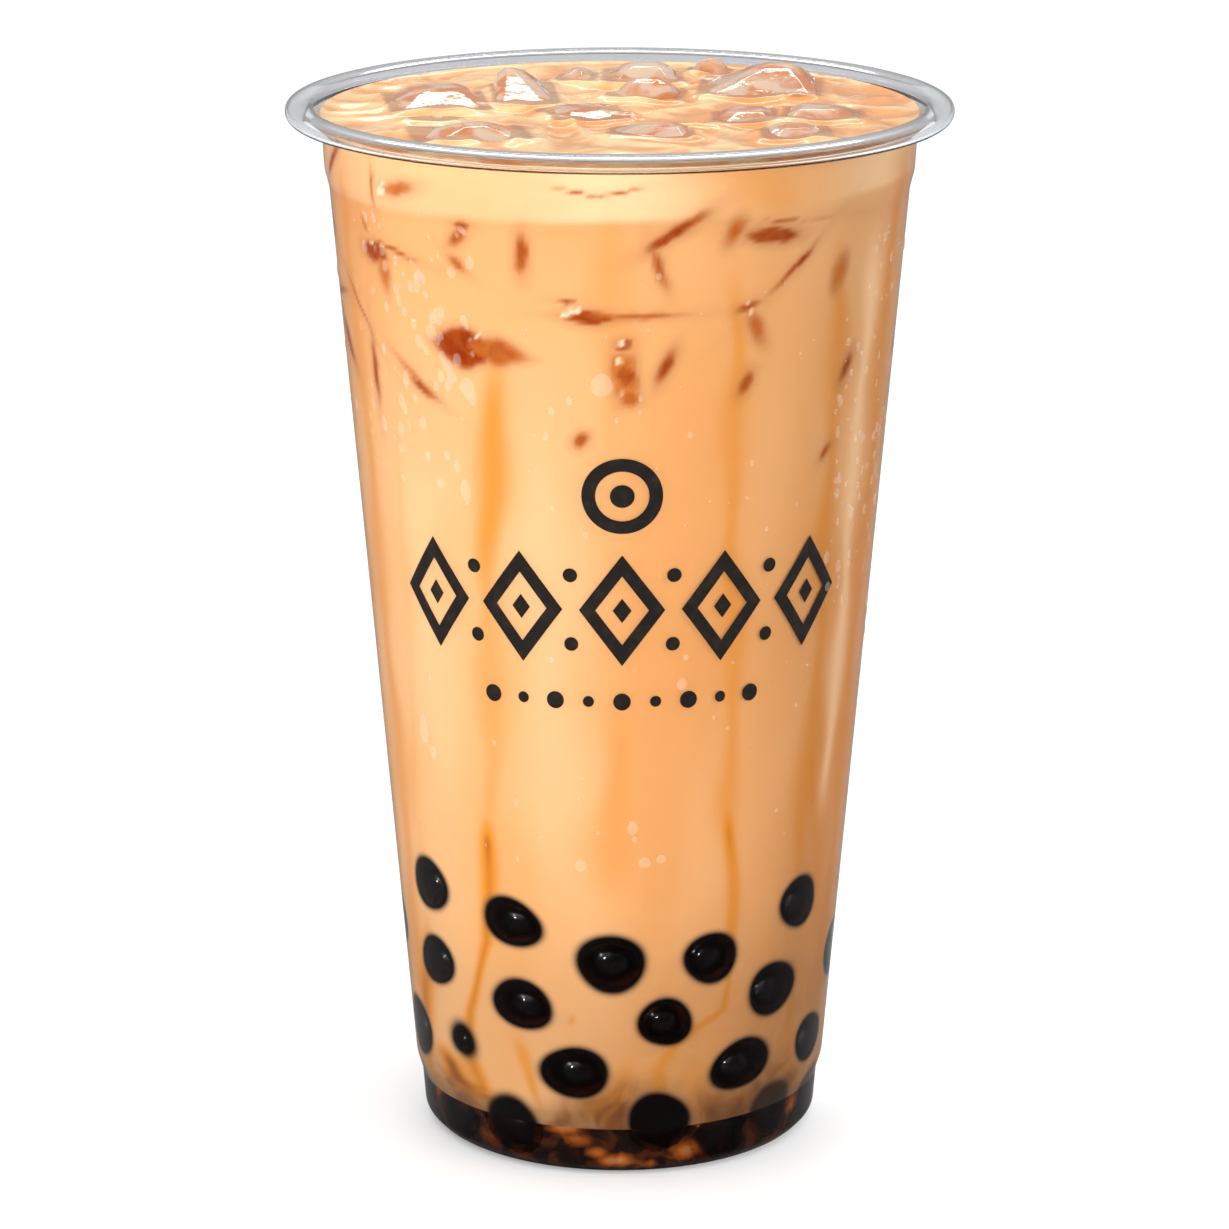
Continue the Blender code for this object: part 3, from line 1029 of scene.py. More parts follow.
ICE_SHARDS = (
    Shard(-60.3, 138.9, -52.8, 138.7, 2.9, 2.0, 0.35, 0.10),
    Shard(-54.5, 140.5, -44.4, 139.0, 0.7, 1.5, 0.25, 0.30),
    Shard(-54.4, 137.6, -53.0, 134.0, 2.2, 1.5, 0.70, 0.70),
    Shard(-32.6, 145.1, -30.0, 145.0, 1.2, 1.5, 0.30, 0.20),
    Shard(-34.1, 142.4, -31.4, 144.0, 1.6, 2.0, 0.50, 0.40),
    Shard(-34.6, 140.3, -31.5, 138.6, 1.2, 1.5, 0.40, 0.45),
    Shard(-18.9, 144.0, -19.1, 139.3, 1.9, 2.0, 0.40, 0.30),
    Shard(-39.8, 127.5, -25.5, 126.8, 6.0, 1.3, 0.50, 0.05),
    Shard(-31.0, 127.6, -19.0, 126.6, 3.8, 1.2, 0.55, 0.45),
    Shard(-11.0, 133.0, -0.8, 132.8, 2.1, 1.2, 0.25, 0.05),
    Shard(-11.5, 135.1, -8.6, 135.0, 0.7, 1.5, 0.20, 0.20),
    Shard(-2.6, 133.1, 10.9, 133.2, 0.8, 1.5, 0.30, 0.40),
    Shard(-70.9, 133.4, -60.7, 126.3, 0.5, 2.0, 0.25, 0.35),
    Shard(-60.7, 124.8, -60.2, 116.8, 1.3, 1.6, 0.40, 0.25),
    Shard(-50.6, 123.6, -43.0, 120.2, 0.7, 1.6, 0.50, 0.60),
    Shard(-47.2, 121.2, -40.6, 118.9, 1.2, 1.6, 0.40, 0.20),
    Shard(-60.0, 143.2, -59.1, 141.9, 0.7, 2.0, 0.40, 0.50),
    Shard(-8.8, 114.3, -7.0, 115.5, 1.7, 2.0, 0.40, 0.20),
    Shard(-11.3, 151.4, -4.3, 150.4, 0.4, 2.0, 0.20, 0.35),
    Shard(-4.3, 150.4, 3.7, 151.5, 0.4, 2.0, 0.20, 0.35),
    Shard(16.2, 147.8, 9.8, 145.0, 1.3, 3.0, 0.35, 0.45),
    Shard(12.3, 145.8, 5.7, 142.8, 1.5, 2.5, 0.35, 0.12),
    Shard(6.5, 142.4, 8.6, 137.8, 1.1, 2.0, 0.45, 0.40),
    Shard(23.1, 146.2, 21.2, 143.4, 2.0, 2.0, 0.60, 0.60),
    Shard(25.2, 144.0, 35.8, 143.4, 2.1, 2.0, 0.25, 0.20),
    Shard(25.0, 146.1, 39.9, 145.3, 0.3, 2.0, 0.20, 0.50),
    Shard(40.0, 141.1, 31.8, 136.0, 0.8, 2.0, 0.35, 0.30),
    Shard(39.6, 140.7, 36.6, 138.7, 1.0, 2.0, 0.30, 0.20),
    Shard(24.1, 133.3, 27.7, 134.0, 1.1, 2.0, 0.35, 0.25),
    Shard(26.6, 132.1, 29.0, 128.9, 1.8, 2.0, 0.60, 0.55),
    Shard(27.0, 123.6, 25.1, 121.2, 1.6, 2.0, 0.40, 0.34),
    Shard(10.3, 127.5, 8.0, 123.8, 1.7, 1.7, 0.50, 0.20),
    Shard(-0.5, 128.8, 2.0, 129.0, 1.5, 3.0, 0.30, 0.20),
    Shard(0.6, 127.0, 1.4, 122.0, 3.2, 5.0, 0.40, 0.70),
    Shard(0.1, 125.1, 2.2, 123.8, 2.0, 3.0, 0.40, 0.25),
    Shard(0.5, 121.0, 3.4, 121.0, 1.8, 3.0, 0.30, 0.50),
    Shard(54.4, 123.5, 52.1, 120.7, 1.6, 2.0, 0.45, 0.30),
    Shard(49.2, 110.8, 47.5, 109.3, 1.2, 2.0, 0.40, 0.35),
    Shard(49.5, 138.4, 47.2, 135.0, 2.3, 2.0, 0.90, 0.80),
    Shard(-54.6, 150.8, -54.8, 146.4, 0.6, 3.0, 0.20, 0.60),
    Shard(-50.0, 148.6, -43.2, 149.6, 1.6, 2.0, 0.40, 0.60),
)

SYRUP_STREAKS = (
    Streak(((25.0, 154.0), (31.0, 147.4)), 6.4, 0.40, 1.6),
    Streak(((-26.1, 126.4), (-28.0, 108.0), (-29.0, 94.0)), 3.2, 0.36, 8.0),
    Streak(((-26.1, 124.4), (-28.0, 108.0), (-30.6, 82.0), (-33.1, 52.3)), 2.8, 0.46, 8.0),
    Streak(((-33.1, 54.0), (-34.5, 42.6), (-36.0, 35.8), (-40.4, 29.9), (-44.7, 23.8),
            (-45.9, 19.4), (-45.0, 15.8), (-39.3, 10.4)), 1.3, 1.10, 3.0),
    Streak(((-1.4, 148.0), (-1.5, 116.0)), 3.4, 0.40, 8.0),
    Streak(((-0.5, 75.0), (-3.0, 44.0)), 3.4, 0.46, 8.0),
    Streak(((22.6, 138.0), (23.6, 120.2), (24.7, 105.3), (25.3, 90.1), (26.5, 71.7),
            (27.5, 52.9)), 2.2, 0.60, 7.0),
    Streak(((27.5, 56.0), (29.3, 36.5), (29.4, 29.6), (28.3, 25.7), (20.7, 23.3),
            (15.0, 20.6), (11.9, 17.5), (11.2, 11.0)), 1.1, 0.80, 3.0),
    Streak(((48.0, 141.0), (51.0, 110.0), (52.0, 80.0), (51.0, 44.0)), 2.6, 0.60, 7.0),
    Streak(((53.8, 62.0), (60.0, 46.0), (61.0, 36.0)), 1.5, 0.45),
    Streak(((-53.3, 117.0), (-60.0, 44.0)), 1.8, 0.25, 8.0),
    Streak(((40.0, 140.0), (44.0, 90.0)), 4.0, 0.20, 8.0),
    Streak(((-56.8, 15.5), (-52.5, 12.0), (-46.5, 10.0), (-39.8, 9.5)), 2.0, 1.50, 2.0),
    Streak(((-60.0, 34.0), (-64.0, 24.0), (-66.0, 12.0)), 2.0, 0.80),
    Streak(((-28.1, 21.0), (-24.8, 16.3), (-22.2, 11.0)), 1.2, 0.75, 2.5),
    Streak(((-13.0, 26.0), (-13.6, 24.2)), 1.1, 0.65, 1.0),
    Streak(((-7.0, 13.6), (-5.4, 10.6), (-2.0, 8.5)), 3.0, 0.70, 1.5),
    Streak(((3.0, 19.0), (-1.0, 8.0)), 2.0, 0.55, 3.0),
    Streak(((22.0, 18.0), (24.0, 8.0)), 2.4, 0.50, 3.0),
    Streak(((52.0, 30.0), (56.0, 8.0)), 2.0, 0.50, 4.0),
    Streak(((-69.0, 150.0), (-68.0, 12.0)), 3.0, 0.55, 8.0),
    Streak(((70.0, 150.0), (70.0, 12.0)), 3.0, 0.70, 8.0),
)

# Lighter runs inside the wall. Those at 60 and -50 degrees are painted sheen, soft upright
# highlights on the wall; the one at -16 degrees is cream.
CREAM_AND_SHEEN_STREAKS = (
    Streak(((60.0, 139.0), (61.0, 56.0)), 2.0, 0.75, 6.0),
    Streak(((-50.0, 110.0), (-46.0, 60.0)), 5.0, 0.30, 10.0),
    Streak(((-16.0, 112.0), (-18.0, 50.0)), 5.0, 0.25, 10.0),
)

# How light the band above the neck's step is, and where it is lighter or darker than that:
# angle, width in degrees, and by how much.
PALE_SHARE = 0.38
PALE_SWELLS = ((-2.0, 15.0, 0.50), (57.0, 9.0, 0.50), (32.0, 14.0, -0.55))


@dataclass
class TeaBody:
    """The drink behind the wall, in a lower and an upper piece that reach just into it."""

    wall: WallShape
    pearls: list[Pearl]
    sink: float = 0.0004
    floor: float = 0.0074
    join: float = 0.0520
    bare_top: float = 0.0850
    top: float = 0.1541
    recess: float = 0.1508
    lip: float = 0.0008
    fine: float = 0.00042
    coarse: float = 0.0011
    sides: int = 470
    smooth_angle: float = 50.0
    back_seed: int = 11
    back_shards: int = 26
    back_streaks: int = 8
    shard_gap: float = 1.7
    step_height: float = 0.1468
    step_sway: float = 0.0013
    step_softness: float = 0.0006
    foot_dimness: float = 0.22

    def build(self) -> list[bpy.types.Object]:
        """Build both pieces of the drink's body."""
        finish = MilkTeaBody().build()
        low_rows = self._rows(self.floor, self.join, self.fine)
        high_rows = self._rows(self.join, self.bare_top, self.coarse)
        high_rows += self._rows(self.bare_top, self.top, self.fine * 1.25)[1:]
        pieces = []
        for name, rows in (("tea_lower", low_rows), ("tea_upper", high_rows)):
            side = [(float(self.wall.radius(height)) - self.sink, height) for height in rows]
            outline = [(0.0, rows[0])] + side
            if rows is high_rows:
                lip = side[-1][0] - self.lip
                outline += [(lip, self.top), (lip - DRAFT, self.recess), (0.0, self.recess)]
            else:
                outline.append((0.0, rows[-1]))
            piece = turned(name, outline[::-1], self.sides)
            self._mark(piece)
            hand_over(piece, finish, ["milk_tea"], self.smooth_angle)
            pieces.append(piece)
        return pieces

    @staticmethod
    def _rows(low: float, high: float, step: float) -> list[float]:
        """Return evenly spaced heights from low to high."""
        return [float(height) for height in np.linspace(low, high, round((high - low) / step) + 1)]

    def _hidden_side(self) -> tuple[list[Shard], list[Streak]]:
        """Return seeded ice and syrup for the sides that the front doesn't show."""
        draw = random.Random(self.back_seed)
        shards = []
        for _ in range(self.back_shards):
            angle = draw.uniform(76.0, 284.0)
            height = draw.uniform(112.0, 148.0)
            lean = draw.uniform(-0.6, 0.6)
            length = draw.uniform(2.5, 8.0)
            run = math.degrees(length * math.cos(lean) / 41.0)
            rise = length * math.sin(lean) * 2.0
            width = draw.uniform(0.7, 2.6)
            tone = draw.uniform(0.05, 0.5)
            shards.append(Shard(angle, height, angle + run, height + rise, width, 1.7, 0.4, tone))
        streaks = []
        for _ in range(self.back_streaks):
            angle = draw.uniform(80.0, 280.0)
            top = draw.uniform(60.0, 145.0)
            width = draw.uniform(1.5, 3.2)
            path = ((angle, top), (angle + draw.uniform(-3.0, 6.0), 9.0))
            streaks.append(Streak(path, width, draw.uniform(0.3, 0.6)))
        return shards, streaks

    def _mark(self, piece: bpy.types.Object) -> None:
        """Store what shows through the wall at each vertex."""
        places = round_the_axis(points_of(piece))
        angles, heights, radii = places
        shards, streaks = self._hidden_side()
        window, haze, tone, streak = (np.zeros(len(angles)) for _ in range(4))
        for shard in list(ICE_SHARDS) + shards:
            distance = shard.distance(angles, heights / MM, radii / MM)
            cover = smooth(distance, shard.softness, -shard.softness)
            tone += (shard.tone - tone) * np.clip(cover * 3.0, 0.0, 1.0)
            window = np.maximum(window, cover * (1.0 - 0.12 * shard.tone))
            veil = smooth(distance, self.shard_gap, -0.4) * min(0.42, shard.width * 0.24)
            haze = np.maximum(haze, veil)
        for run in list(SYRUP_STREAKS) + streaks:
            streak += run.cover(angles, heights / MM, radii / MM)
        fields = {"window": window, "haze": haze, "window_tone": tone, "streak": streak}
        fields |= {"pale": self._pale(*places), "glint": self._glint(*places)}
        fields |= {"warm": self._shaded_warmth(angles, heights), "murk": self._murk(angles, heights)}
        fields["dim"] = self.foot_dimness * smooth(heights, 0.046, 0.022)
        fields["pearl_shade"] = self._pearl_shade(*places)
        write_attributes(piece, fields)

    @staticmethod
    def _shaded_warmth(angles: np.ndarray, heights: np.ndarray) -> np.ndarray:
        """Return how warm each place is: painted shade on the right side below, away from the key
        lamp, and a warmer tint on the left by the ice.
        """
        by_ice = smooth(heights, 0.116, 0.140) * smooth(angles, 14.0, -20.0)
        side = 0.5 + 0.5 * np.sin(np.radians(angles - 32.0))
        return side * (1.0 - 0.55 * smooth(heights, 0.080, 0.105)) + 0.6 * by_ice

    @staticmethod
    def _glint(angles: np.ndarray, heights: np.ndarray, radii: np.ndarray) -> np.ndarray:
        """Return how strongly the painted highlights on the sunken ice cover each place."""
        glint = np.zeros(len(angles))
        for angle, height, size in PAINTED_ICE_GLINTS:
            across = np.radians(angles - angle) * radii / MM
            away = np.hypot(across, (heights / MM - height) * 1.2)
            glint = np.maximum(glint, smooth(away, size + 0.22, size - 0.22))
        return glint

    def _pale(self, angles: np.ndarray, heights: np.ndarray, radii: np.ndarray) -> np.ndarray:
        """Return the lighter band above the neck's step, higher on the right, and the lighter runs,
        two of which are painted sheen.
        """
        step = self.step_height + self.step_sway * np.sin(np.radians(angles))
        share = np.full(len(angles), PALE_SHARE)
        for angle, width, more in PALE_SWELLS:
            share += more * bell(angles, angle, width)
        pale = smooth(heights, step - self.step_softness, step + self.step_softness) * share
        for run in CREAM_AND_SHEEN_STREAKS:
            pale += run.cover(angles, heights / MM, radii / MM)
        return np.clip(pale, 0.0, 1.0)

    @staticmethod
    def _murk(angles: np.ndarray, heights: np.ndarray) -> np.ndarray:
        """Return how brown the syrup that rises from the foot makes each place."""
        turns = np.radians(angles)
        reach = 0.0125 + 0.0022 * np.sin(3.0 * turns + 0.6) + 0.0018 * np.sin(7.0 * turns + 2.0)
        murk = 0.85 * smooth(heights, reach + 0.0035, reach - 0.0045)
        right = 0.5 + 0.5 * np.sin(turns - 0.35)
        return murk + (1.0 - murk) * 0.28 * right * smooth(heights, 0.060, 0.016)

    def _pearl_shade(self, *places: np.ndarray) -> np.ndarray:
        """Return how dark the pearls behind the milk make each place."""
        shade = np.zeros(len(places[0]))
        for pearl in self.pearls:
            soft = 0.5 if pearl.node in FAINT_PEARLS else 0.0
            dark = smooth(pearl.reach(*places), 1.38 + soft / 3.0, 0.86 - soft)
            shade = np.maximum(shade, dark)
        for angle, height, clearness in BED_PEARLS:
            dark = smooth(Pearl.settled(angle, height).reach(*places), 1.4, 0.8)
            shade = np.maximum(shade, clearness * dark)
        return shade


@dataclass
class Tapioca:
    """The loose pearls, pressed against the wall and rounded where they show."""

    wall: WallShape
    pearls: list[Pearl]
    seat: float = 0.0025
    fill_gap: float = 0.0008
    depth: float = 0.0043
    boxiness: float = 3.0
    front_clearance: float = 0.00014
    crown: float = 0.00030
    dome_tilt: float = 0.85
    glint: tuple[float, float, float] = (-0.27, -0.891, 0.365)
    farthest_glint: float = 0.8
    glint_range: tuple[float, float] = (0.36, 0.14)
    shown: float = 0.98
    shown_faint: float = 0.5
    lowest: float = 0.0032
    segments: int = 40
    rings: int = 24

    def build(self) -> list[bpy.types.Object]:
        """Build one piece for each pearl node."""
        finish = TapiocaSkin().build()
        return [self._pearl(pearl, finish) for pearl in self.pearls]

    def _pearl(self, pearl: Pearl, finish: bpy.types.Material) -> bpy.types.Object:
        """Build one pearl and press it to the wall."""
        piece = unit_ball(self.segments, self.rings)
        piece.name = pearl.node.replace("pearl", "tapioca")
        unit = points_of(piece)
        across = np.hypot(unit[:, 0], unit[:, 2])
        fuller = (1.0 - np.clip(across, 0.0, 1.0) ** self.boxiness) ** (1.0 / self.boxiness)
        out = np.sign(-unit[:, 1]) * fuller
        shown = self.shown_faint if pearl.node in FAINT_PEARLS else self.shown
        along = unit[:, 0] * pearl.half_width * shown
        aside = unit[:, 2] * pearl.half_tall * shown
        side = along * math.cos(pearl.tilt) - aside * math.sin(pearl.tilt)
        up = along * math.sin(pearl.tilt) + aside * math.cos(pearl.tilt)
        heights = pearl.height + up
        seat = self.wall.radius(pearl.height) - self.fill_gap - self.seat
        reach = seat + out * self.depth
        limit = self.wall.radius(heights) - self.front_clearance - self.crown * across**2
        drop = limit - np.sqrt(np.maximum(limit**2 - side**2, 0.0))
        reach = np.minimum(reach, limit - drop)
        turn = math.radians(pearl.angle)
        points = np.column_stack(
            [
                side * math.cos(turn) + reach * math.sin(turn),
                side * math.sin(turn) - reach * math.cos(turn),
                np.maximum(heights, self.lowest),
            ]
        )
        move_points(piece, points)
        # Painted light: a red-brown rim low on the right of each pearl, where light shining through
        # it would show.
        low_right = smooth(-unit[:, 2] + 0.5 * unit[:, 0], 0.45, 1.1)
        painted_glow = low_right * smooth(across, 0.40, 0.90)
        write_attributes(piece, {"painted_glow": painted_glow, "shine": self._shine(pearl, unit)})
        hand_over(piece, finish, [pearl.node])
        self._round_off(piece, pearl, unit, across)
        return piece

    def _shine(self, pearl: Pearl, unit: np.ndarray) -> np.ndarray:
        """Return how wet a pearl's skin is, which is most where it mirrors the key light."""
        turn = math.radians(pearl.angle)
        right = self.glint[0] * math.cos(turn) + self.glint[1] * math.sin(turn)
        front = self.glint[0] * math.sin(turn) - self.glint[1] * math.cos(turn)
        lean = math.atan2(math.hypot(right, self.glint[2]), front) / self.dome_tilt
        reach = min(lean, self.farthest_glint)
        way = math.atan2(self.glint[2], right) - pearl.tilt
        spot = (reach * math.cos(way), reach * math.sin(way))
        away = np.hypot(unit[:, 0] - spot[0], unit[:, 2] - spot[1])
        return np.where(unit[:, 1] < 0.0, smooth(away, *self.glint_range), 0.0)

    def _round_off(
        self, piece: bpy.types.Object, pearl: Pearl, unit: np.ndarray, across: np.ndarray
    ) -> None:
        """Give the pressed face the shading of a full dome."""
        turn = math.radians(pearl.angle)
        front = np.array([math.sin(turn), -math.cos(turn), 0.0])
        right = np.array([math.cos(turn), math.sin(turn), 0.0])
        above = np.array([0.0, 0.0, 1.0])
        tilt = self.dome_tilt * across
        side = unit[:, 0] * math.cos(pearl.tilt) - unit[:, 2] * math.sin(pearl.tilt)
        up = unit[:, 0] * math.sin(pearl.tilt) + unit[:, 2] * math.cos(pearl.tilt)
        lean = np.outer(side, right) + np.outer(up, above)
        lean /= np.maximum(np.linalg.norm(lean, axis=1), 1e-9)[:, None]
        facing = -unit[:, 1] > 0.0
        normals = np.outer(np.cos(tilt), front) + lean * np.sin(tilt)[:, None]
        own = np.outer(-unit[:, 1], front) + np.outer(side, right) + np.outer(up, above)
        normals = np.where(facing[:, None], normals, own)
        normals /= np.linalg.norm(normals, axis=1)[:, None]
        piece.data.normals_split_custom_set_from_vertices([tuple(normal) for normal in normals])


@dataclass(frozen=True)
class Patch:
    """A lighter place in the syrup: angle, height, width and height across in millimetres."""

    angle: float
    height: float
    width: float
    tall: float
    strength: float


SYRUP_PATCHES = (
    Patch(-66.0, 7.0, 5.0, 2.4, 0.60),
    Patch(-51.0, 7.2, 3.6, 3.0, 0.95),
    Patch(-42.0, 3.2, 4.0, 3.0, 0.50),
    Patch(-16.0, 7.4, 6.0, 2.6, 1.00),
    Patch(-12.0, 5.4, 5.0, 2.6, 0.75),
    Patch(-6.5, 3.6, 3.6, 2.0, 0.85),
    Patch(-1.0, 2.2, 5.0, 2.4, 1.05),
    Patch(8.0, 1.6, 5.0, 1.8, 0.75),
    Patch(20.0, 3.4, 7.0, 3.0, 0.95),
    Patch(27.0, 7.2, 5.0, 2.2, 0.85),
    Patch(31.0, 3.0, 4.0, 2.0, 0.65),
    Patch(60.0, 6.0, 4.0, 4.0, 0.80),
    Patch(70.0, 4.0, 3.4, 3.4, 0.60),
    Patch(112.0, 5.0, 6.0, 3.0, 0.85),
    Patch(140.0, 3.4, 6.0, 3.0, 0.90),
    Patch(172.0, 4.6, 6.0, 3.0, 0.90),
    Patch(200.0, 3.2, 7.0, 3.0, 0.80),
    Patch(232.0, 5.0, 5.0, 4.0, 0.90),
    Patch(262.0, 4.0, 5.0, 3.0, 0.80),
)


@dataclass
class SyrupFoot:
    """The settled layer in the foot: dark syrup with its ring of pearls at the wall."""

    wall: WallShape
    sink: float = 0.0004
    top: float = 0.0074
    low: float = 0.0010
    fine: float = 0.00042
    sides: int = 420
    pearl_front: float = 0.00018
    smooth_angle: float = 50.0

    def build(self) -> bpy.types.Object:
        """Build the layer that stands for the pearl_layer node."""
        count = round((self.top - self.low) / self.fine)
        rows = [float(height) for height in np.linspace(self.top, self.low, count + 1)]
        side = [(self._radius(height) - self.sink, height) for height in rows]
        floor = self.wall.sheet - 0.0001
        lift = self.wall.base_rise - 0.0001
        outline = [(0.0, self.top)] + side
        outline += [
            (self.wall.stand_outer - DRAFT, floor),
            (self.wall.stand_inner + 0.0003, floor),
            (self.wall.base_radius + DRAFT, lift),
            (0.0, lift),
        ]
        piece = turned("syrup_foot", outline, self.sides)
        self._mark(piece)
        finish = SyrupBed().build()
        return hand_over(piece, finish, ["pearl_layer"], self.smooth_angle)

    def _radius(self, height: float) -> float:
        """Return the wall's outside radius, rounding in below its lowest corner."""
        corner = self.wall.outside[0]
        if height >= corner[1]:
            return float(self.wall.radius(height))
        share = height / corner[1]
        return self.wall.stand_outer + share * (corner[0] - self.wall.stand_outer)

    def _mark(self, piece: bpy.types.Object) -> None:
        """Swell the pearls into the wall and store where pearls and lighter patches show."""
        points = points_of(piece)
        angles, heights, radii = round_the_axis(points)
        shade, dome, patches = (np.zeros(len(points)) for _ in range(3))
        for angle, height, _ in BED_PEARLS:
            reach = Pearl.settled(angle, height).reach(angles, heights, radii)
            shade = np.maximum(shade, smooth(reach, 1.05, 0.8))
            dome = np.maximum(dome, np.sqrt(np.clip(1.0 - 0.8 * reach**2, 0.0, 1.0)))
        for patch in SYRUP_PATCHES:
            offset = turned_from(angles, patch.angle)
            across = np.radians(offset) * radii / MM / (patch.width / 2.0)
            up = (heights / MM - patch.height) / (patch.tall / 2.0)
            patches = np.maximum(patches, patch.strength * np.exp(-(across**2 + up**2) * 0.7))
        wall_side = (radii > self.wall.stand_outer - MM) & (heights < self.top - 0.05 * MM)
        swell = np.where(wall_side, shade * (self.sink - self.pearl_front), 0.0)
        points[:, :2] *= (1.0 + swell / np.maximum(radii, 1e-6))[:, None]
        move_points(piece, points)
        write_attributes(piece, {"dome": dome, "pearl_shade": shade, "patch": patches})


@dataclass
class FloatingIce:
    """The ice at the top, melted smooth from the forms of its nodes."""

    nodes: dict[str, bpy.types.Object]
    edge: float = 0.00014
    cuts: int = 3
    flat_angle: float = 4.0
    edge_angle: float = 12.0
    smooth_angle: float = 28.0
    melt_scale: float = 200.0
    melt_depth: float = 0.00008

    def build(self) -> list[bpy.types.Object]:
        """Build one piece for each ice node."""
        finish = ClearIce().build()
        return [self._piece(name, node, finish) for name, node in sorted(self.nodes.items())]

    def _piece(
        self, name: str, node: bpy.types.Object, finish: bpy.types.Material
    ) -> bpy.types.Object:
        """Build one chunk from a copy of its node."""
        piece = bpy.data.objects.new(f"floating_{name}", node.data.copy())
        bpy.context.scene.collection.objects.link(piece)
        with editing(piece):
            bpy.ops.mesh.select_all(action="SELECT")
            bpy.ops.mesh.remove_doubles(threshold=0.02 * MM)
            bpy.ops.mesh.dissolve_limited(angle_limit=math.radians(self.flat_angle))
        rounding = {"width": self.edge, "segments": 2, "angle_limit": math.radians(self.edge_angle)}
        apply_modifier(piece, "BEVEL", rounding)
        apply_modifier(piece, "SUBSURF", {"subdivision_type": "SIMPLE", "levels": self.cuts})
        points = points_of(piece)
        for index, point in enumerate(points):
            shift = noise.noise_vector(Vector(point) * self.melt_scale)
            points[index] += np.array(shift) * self.melt_depth
        move_points(piece, points)
        return hand_over(piece, finish, [name], self.smooth_angle)


@dataclass
class TeaSurface:
    """The drink's open top, with its waves, its hollows under the ice and its rise at the wall."""

    wall: WallShape
    nodes: dict[str, bpy.types.Object]
    level: float = 0.1550
    skirt: float = 0.0010
    lip: float = 0.0006
    bottom: float = 0.1510
    sink: float = 0.0004
    rings: int = 104
    sides: int = 440
    hollow_depth: float = 0.0030
    hollow_inset: float = 0.0004
    fold_scale: float = 95.0
    fold_height: float = 0.0008
    ripple_scale: float = 330.0
    ripple_height: float = 0.00012
    climb: float = 0.0004
    climb_width: float = 0.0007
    ice_climb: float = 0.0006
    ice_climb_width: float = 0.0014
    ice_line_width: float = 0.0004
    smooth_angle: float = 70.0

    def build(self) -> bpy.types.Object:
        """Build the surface and shape it."""
        edge = float(self.wall.radius(self.level)) - self.sink
        low = self.level - self.skirt
        low_edge = float(self.wall.radius(low)) - self.sink
        rings = [edge * index / self.rings for index in range(self.rings + 1)]
        outline = [(radius, self.level) for radius in rings] + [(low_edge, low)]
        inner = low_edge - TeaBody.lip - self.lip
        outline += [(inner, low), (inner - DRAFT, self.bottom), (0.0, self.bottom)]
        piece = turned("tea_surface", outline, self.sides)
        self._shape(piece, edge)
        finish = MilkTeaTop().build()
        return hand_over(piece, finish, ["milk_tea"], self.smooth_angle)

    def _footprint(self, node: bpy.types.Object) -> list[Vector]:
        """Return the outline of an ice node at the drink's level, in order round it."""
        points = [Vector(point[:2]) for point in points_of(node) if point[2] < self.level + MM]
        return [points[index] for index in geometry.convex_hull_2d(points)]

    def _distance(self, node: bpy.types.Object, places: np.ndarray) -> np.ndarray:
        """Return how far each place lies outside an ice node, negative inside."""
        outline = self._footprint(node)
        distance = np.full(len(places), -1.0)
        for start, end in zip(outline, outline[1:] + outline[:1]):
            edge = (end - start).normalized()
            away = np.array([edge.y, -edge.x])
            distance = np.maximum(distance, (places - np.array(start)) @ away)
        return distance

    def _shape(self, piece: bpy.types.Object, edge: float) -> None:
        """Move the surface and store where it is hollow and where it meets ice."""
        points = points_of(piece)
        places = points[:, :2]
        radii = np.hypot(places[:, 0], places[:, 1])
        open_top = points[:, 2] > self.level - self.skirt / 2.0
        hollow, rim, bank = (np.zeros(len(points)) for _ in range(3))
        for node in self.nodes.values():
            distance = self._distance(node, places)
            hollow = np.maximum(hollow, smooth(distance, -self.hollow_inset, -0.0026))
            # Painted shade: a thin line along where the drink meets the ice.
            rim = np.maximum(rim, bell(distance, 0.0, self.ice_line_width))
            bank = np.maximum(bank, bell(distance, 0.0, self.ice_climb_width))
        folds = np.array([self._fold(x, y) for x, y in places])
        spots = [Vector((x, y, 0.01)) * self.ripple_scale for x, y in places]
        ripples = np.array([noise.noise(spot) for spot in spots])
        waves = self.fold_height * folds + self.ripple_height * ripples
        free = smooth(radii, edge, edge - 0.003) * (1.0 - hollow)
        lift = (waves + self.ice_climb * bank) * free - self.hollow_depth * hollow
        lift += self.climb * np.exp(-(edge - radii) / self.climb_width)
        points[:, 2] = np.where(open_top, points[:, 2] + lift, points[:, 2])
        move_points(piece, points)
        warm = smooth(places[:, 0], 0.008, 0.032)
        write_attributes(piece, {"hollow": hollow, "warm": warm, "fold": folds, "painted_ice_edge_shade": rim})

    def _fold(self, x: float, y: float) -> float:
        """Return the height of the creamy folds at a place, from about -0.6 to 0.4."""
        place = Vector((x, y, 0.0)) * self.fold_scale
        place += noise.noise_vector(place * 0.5) * 0.9
        return 0.4 - abs(noise.noise(place)) * 1.6


